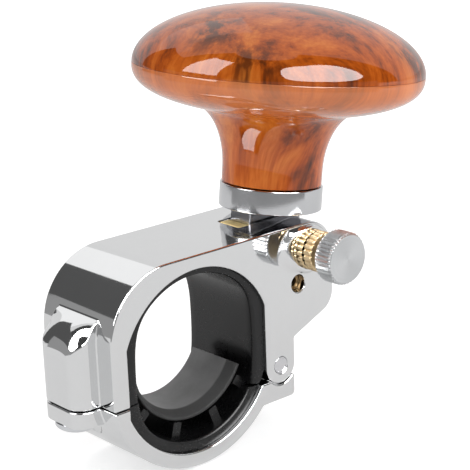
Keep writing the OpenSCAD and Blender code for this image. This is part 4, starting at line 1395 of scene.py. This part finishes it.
class SPINNER_OT_stage(bpy.types.Operator):
    """Camera, pale floor, white backdrop, softboxes and dark cards"""

    bl_idname = "spinner.stage"
    bl_label = "Studio stage"

    def execute(self, context):
        look = context.scene.spinner_stage
        scene = context.scene
        self.camera(scene, look)
        self.floor(look)
        self.world(scene, look)
        self.lamps(look)
        self.patches(look)
        scene.view_settings.view_transform = "Standard"
        return {"FINISHED"}

    def camera(self, scene, look):
        lens = bpy.data.cameras.new("photo_camera")
        lens.lens = look.lens
        lens.sensor_width = 36.0
        lens.clip_start = 0.01
        lens.clip_end = 20.0
        camera = bpy.data.objects.new("photo_camera", lens)
        scene.collection.objects.link(camera)
        forward = Vector(look.camera_forward).normalized()
        right = forward.cross(Vector(look.camera_up)).normalized()
        up = right.cross(forward)
        turn = Matrix((right, up, -forward)).transposed()
        camera.matrix_world = Matrix.Translation(look.camera_place) @ turn.to_4x4()
        scene.camera = camera

    def floor(self, look):
        material, tree, shader = plain_material("pale_floor")
        shader.inputs["Roughness"].default_value = 0.9
        shader.inputs["Specular IOR Level"].default_value = 0.0
        path = node_in(tree, "ShaderNodeLightPath")
        grey = math_in(tree, "MULTIPLY_ADD", path.outputs["Is Glossy Ray"], look.floor_glossy - 0.86, 0.86)
        tree.links.new(grey, shader.inputs["Base Color"])
        coords = node_in(tree, "ShaderNodeTexCoord")
        away = node_in(tree, "ShaderNodeVectorMath", {"operation": "LENGTH"})
        tree.links.new(coords.outputs["Object"], away.inputs[0])
        spread = node_in(tree, "ShaderNodeMapRange", {"clamp": True}, Value=away.outputs["Value"],
                         From_Min=0.08, From_Max=0.5, To_Min=look.floor_glow, To_Max=0.66)
        glow = math_in(tree, "MULTIPLY", path.outputs["Is Camera Ray"], spread.outputs["Result"])
        glow = math_in(tree, "MULTIPLY_ADD", path.outputs["Is Glossy Ray"], look.floor_mirror_glow, glow)
        shader.inputs["Emission Color"].default_value = (1, 1, 1, 1)
        tree.links.new(glow, shader.inputs["Emission Strength"])
        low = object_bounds()[0]
        size = 6.0
        mesh = bpy.data.meshes.new("floor")
        z = low.z - 0.3 * MM
        mesh.from_pydata([(-size, -size, z), (size, -size, z), (size, size, z), (-size, size, z)], [],
                         [(0, 1, 2, 3)])
        floor = bpy.data.objects.new("floor", mesh)
        bpy.context.scene.collection.objects.link(floor)
        mesh.materials.append(material)
        floor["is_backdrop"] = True

    def world(self, scene, look):
        """White to the camera and in reflections, and a plain level of light on everything else."""
        world = bpy.data.worlds.new("studio")
        scene.world = world
        world.use_nodes = True
        tree = world.node_tree
        tree.nodes.clear()
        path = node_in(tree, "ShaderNodeLightPath")
        shown = math_in(tree, "ADD", path.outputs["Is Camera Ray"], path.outputs["Is Transmission Ray"])
        shown = math_in(tree, "MINIMUM", shown, 1.0)
        level = math_in(tree, "MULTIPLY_ADD", shown, 1.0 - look.world_light, look.world_light)
        level = math_in(tree, "MULTIPLY_ADD", path.outputs["Is Glossy Ray"],
                        look.world_glossy - look.world_light, level)
        back = node_in(tree, "ShaderNodeBackground", Color=(1, 1, 1, 1), Strength=level)
        out = node_in(tree, "ShaderNodeOutputWorld")
        tree.links.new(back.outputs["Background"], out.inputs["Surface"])

    def lamps(self, look):
        aim = Vector((0.02, 0, 0.02))
        softbox("front_softbox", (-0.05, -0.62, 0.5), aim, 0.5, 0.4, look.key_power)
        softbox("left_softbox", (-0.62, 0.15, 0.42), aim, 0.3, 0.3, look.side_power)
        softbox("right_softbox", (0.55, -0.42, 0.2), aim, 0.3, 0.3, look.right_power)
        softbox("overhead_panel", (0.1, 0.35, 0.75), aim, 0.8, 0.6, look.top_power)

    def patches(self, look):
        """Dark room in front, dark card at the back left, bright strip behind and two softboxes."""
        dark = glow_material("dark_room", look.room_level)
        sky_patch("dark_front", (-232, -30), (-4, 76), 1.6, dark)
        wall = glow_material("front_wall", look.wall_level)
        sky_patch("dark_wall", (-232, -50), (-5, 16), 0.27, wall)
        sky_patch("dark_back_left", (98, 152), (-4, 43), 1.5, glow_material("dark_card", look.card_level))
        sky_patch("bright_back", (50, 112), (30, 52), 1.7, glow_material("bright_strip", look.strip_level))
        box = glow_material("softbox_glow", look.box_level)
        sky_patch("left_box", (148, 180), (14, 62), 1.2, box)
        bright = glow_material("bright_softbox_glow", 1.4 * look.box_level)
        sky_patch("right_box", (-126, -56), (13, 60), 1.2, bright, 3.0)


# Panel, registration and the build

ORDER = (
    "wood_knob", "ferrule", "post", "swivel", "castings", "liners", "hinge", "clamp_screw", "bush",
    "thumb_wheel", "stage",
)


class SPINNER_PT_panel(bpy.types.Panel):
    """Lists the build steps of the spinner knob"""

    bl_label = "Spinner knob"
    bl_idname = "SPINNER_PT_panel"
    bl_space_type = "VIEW_3D"
    bl_region_type = "UI"
    bl_category = "Spinner knob"

    def draw(self, context):
        for step in ORDER:
            self.layout.operator("spinner." + step)


CLASSES = (
    KnobLook, MetalLook, RubberLook, StageLook,
    SPINNER_OT_wood_knob, SPINNER_OT_ferrule, SPINNER_OT_post, SPINNER_OT_swivel,
    SPINNER_OT_castings, SPINNER_OT_liners, SPINNER_OT_hinge, SPINNER_OT_clamp_screw,
    SPINNER_OT_bush, SPINNER_OT_thumb_wheel, SPINNER_OT_stage, SPINNER_PT_panel,
)


def register():
    for entry in CLASSES:
        bpy.utils.register_class(entry)
    for name, kind in GROUPS.items():
        setattr(bpy.types.Scene, name, PointerProperty(type=kind))


def unregister():
    for name in GROUPS:
        delattr(bpy.types.Scene, name)
    for entry in reversed(CLASSES):
        bpy.utils.unregister_class(entry)


def main():
    """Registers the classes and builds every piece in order."""
    register()
    for step in ORDER:
        getattr(bpy.ops.spinner, step)()


if __name__ == "__main__":
    main()
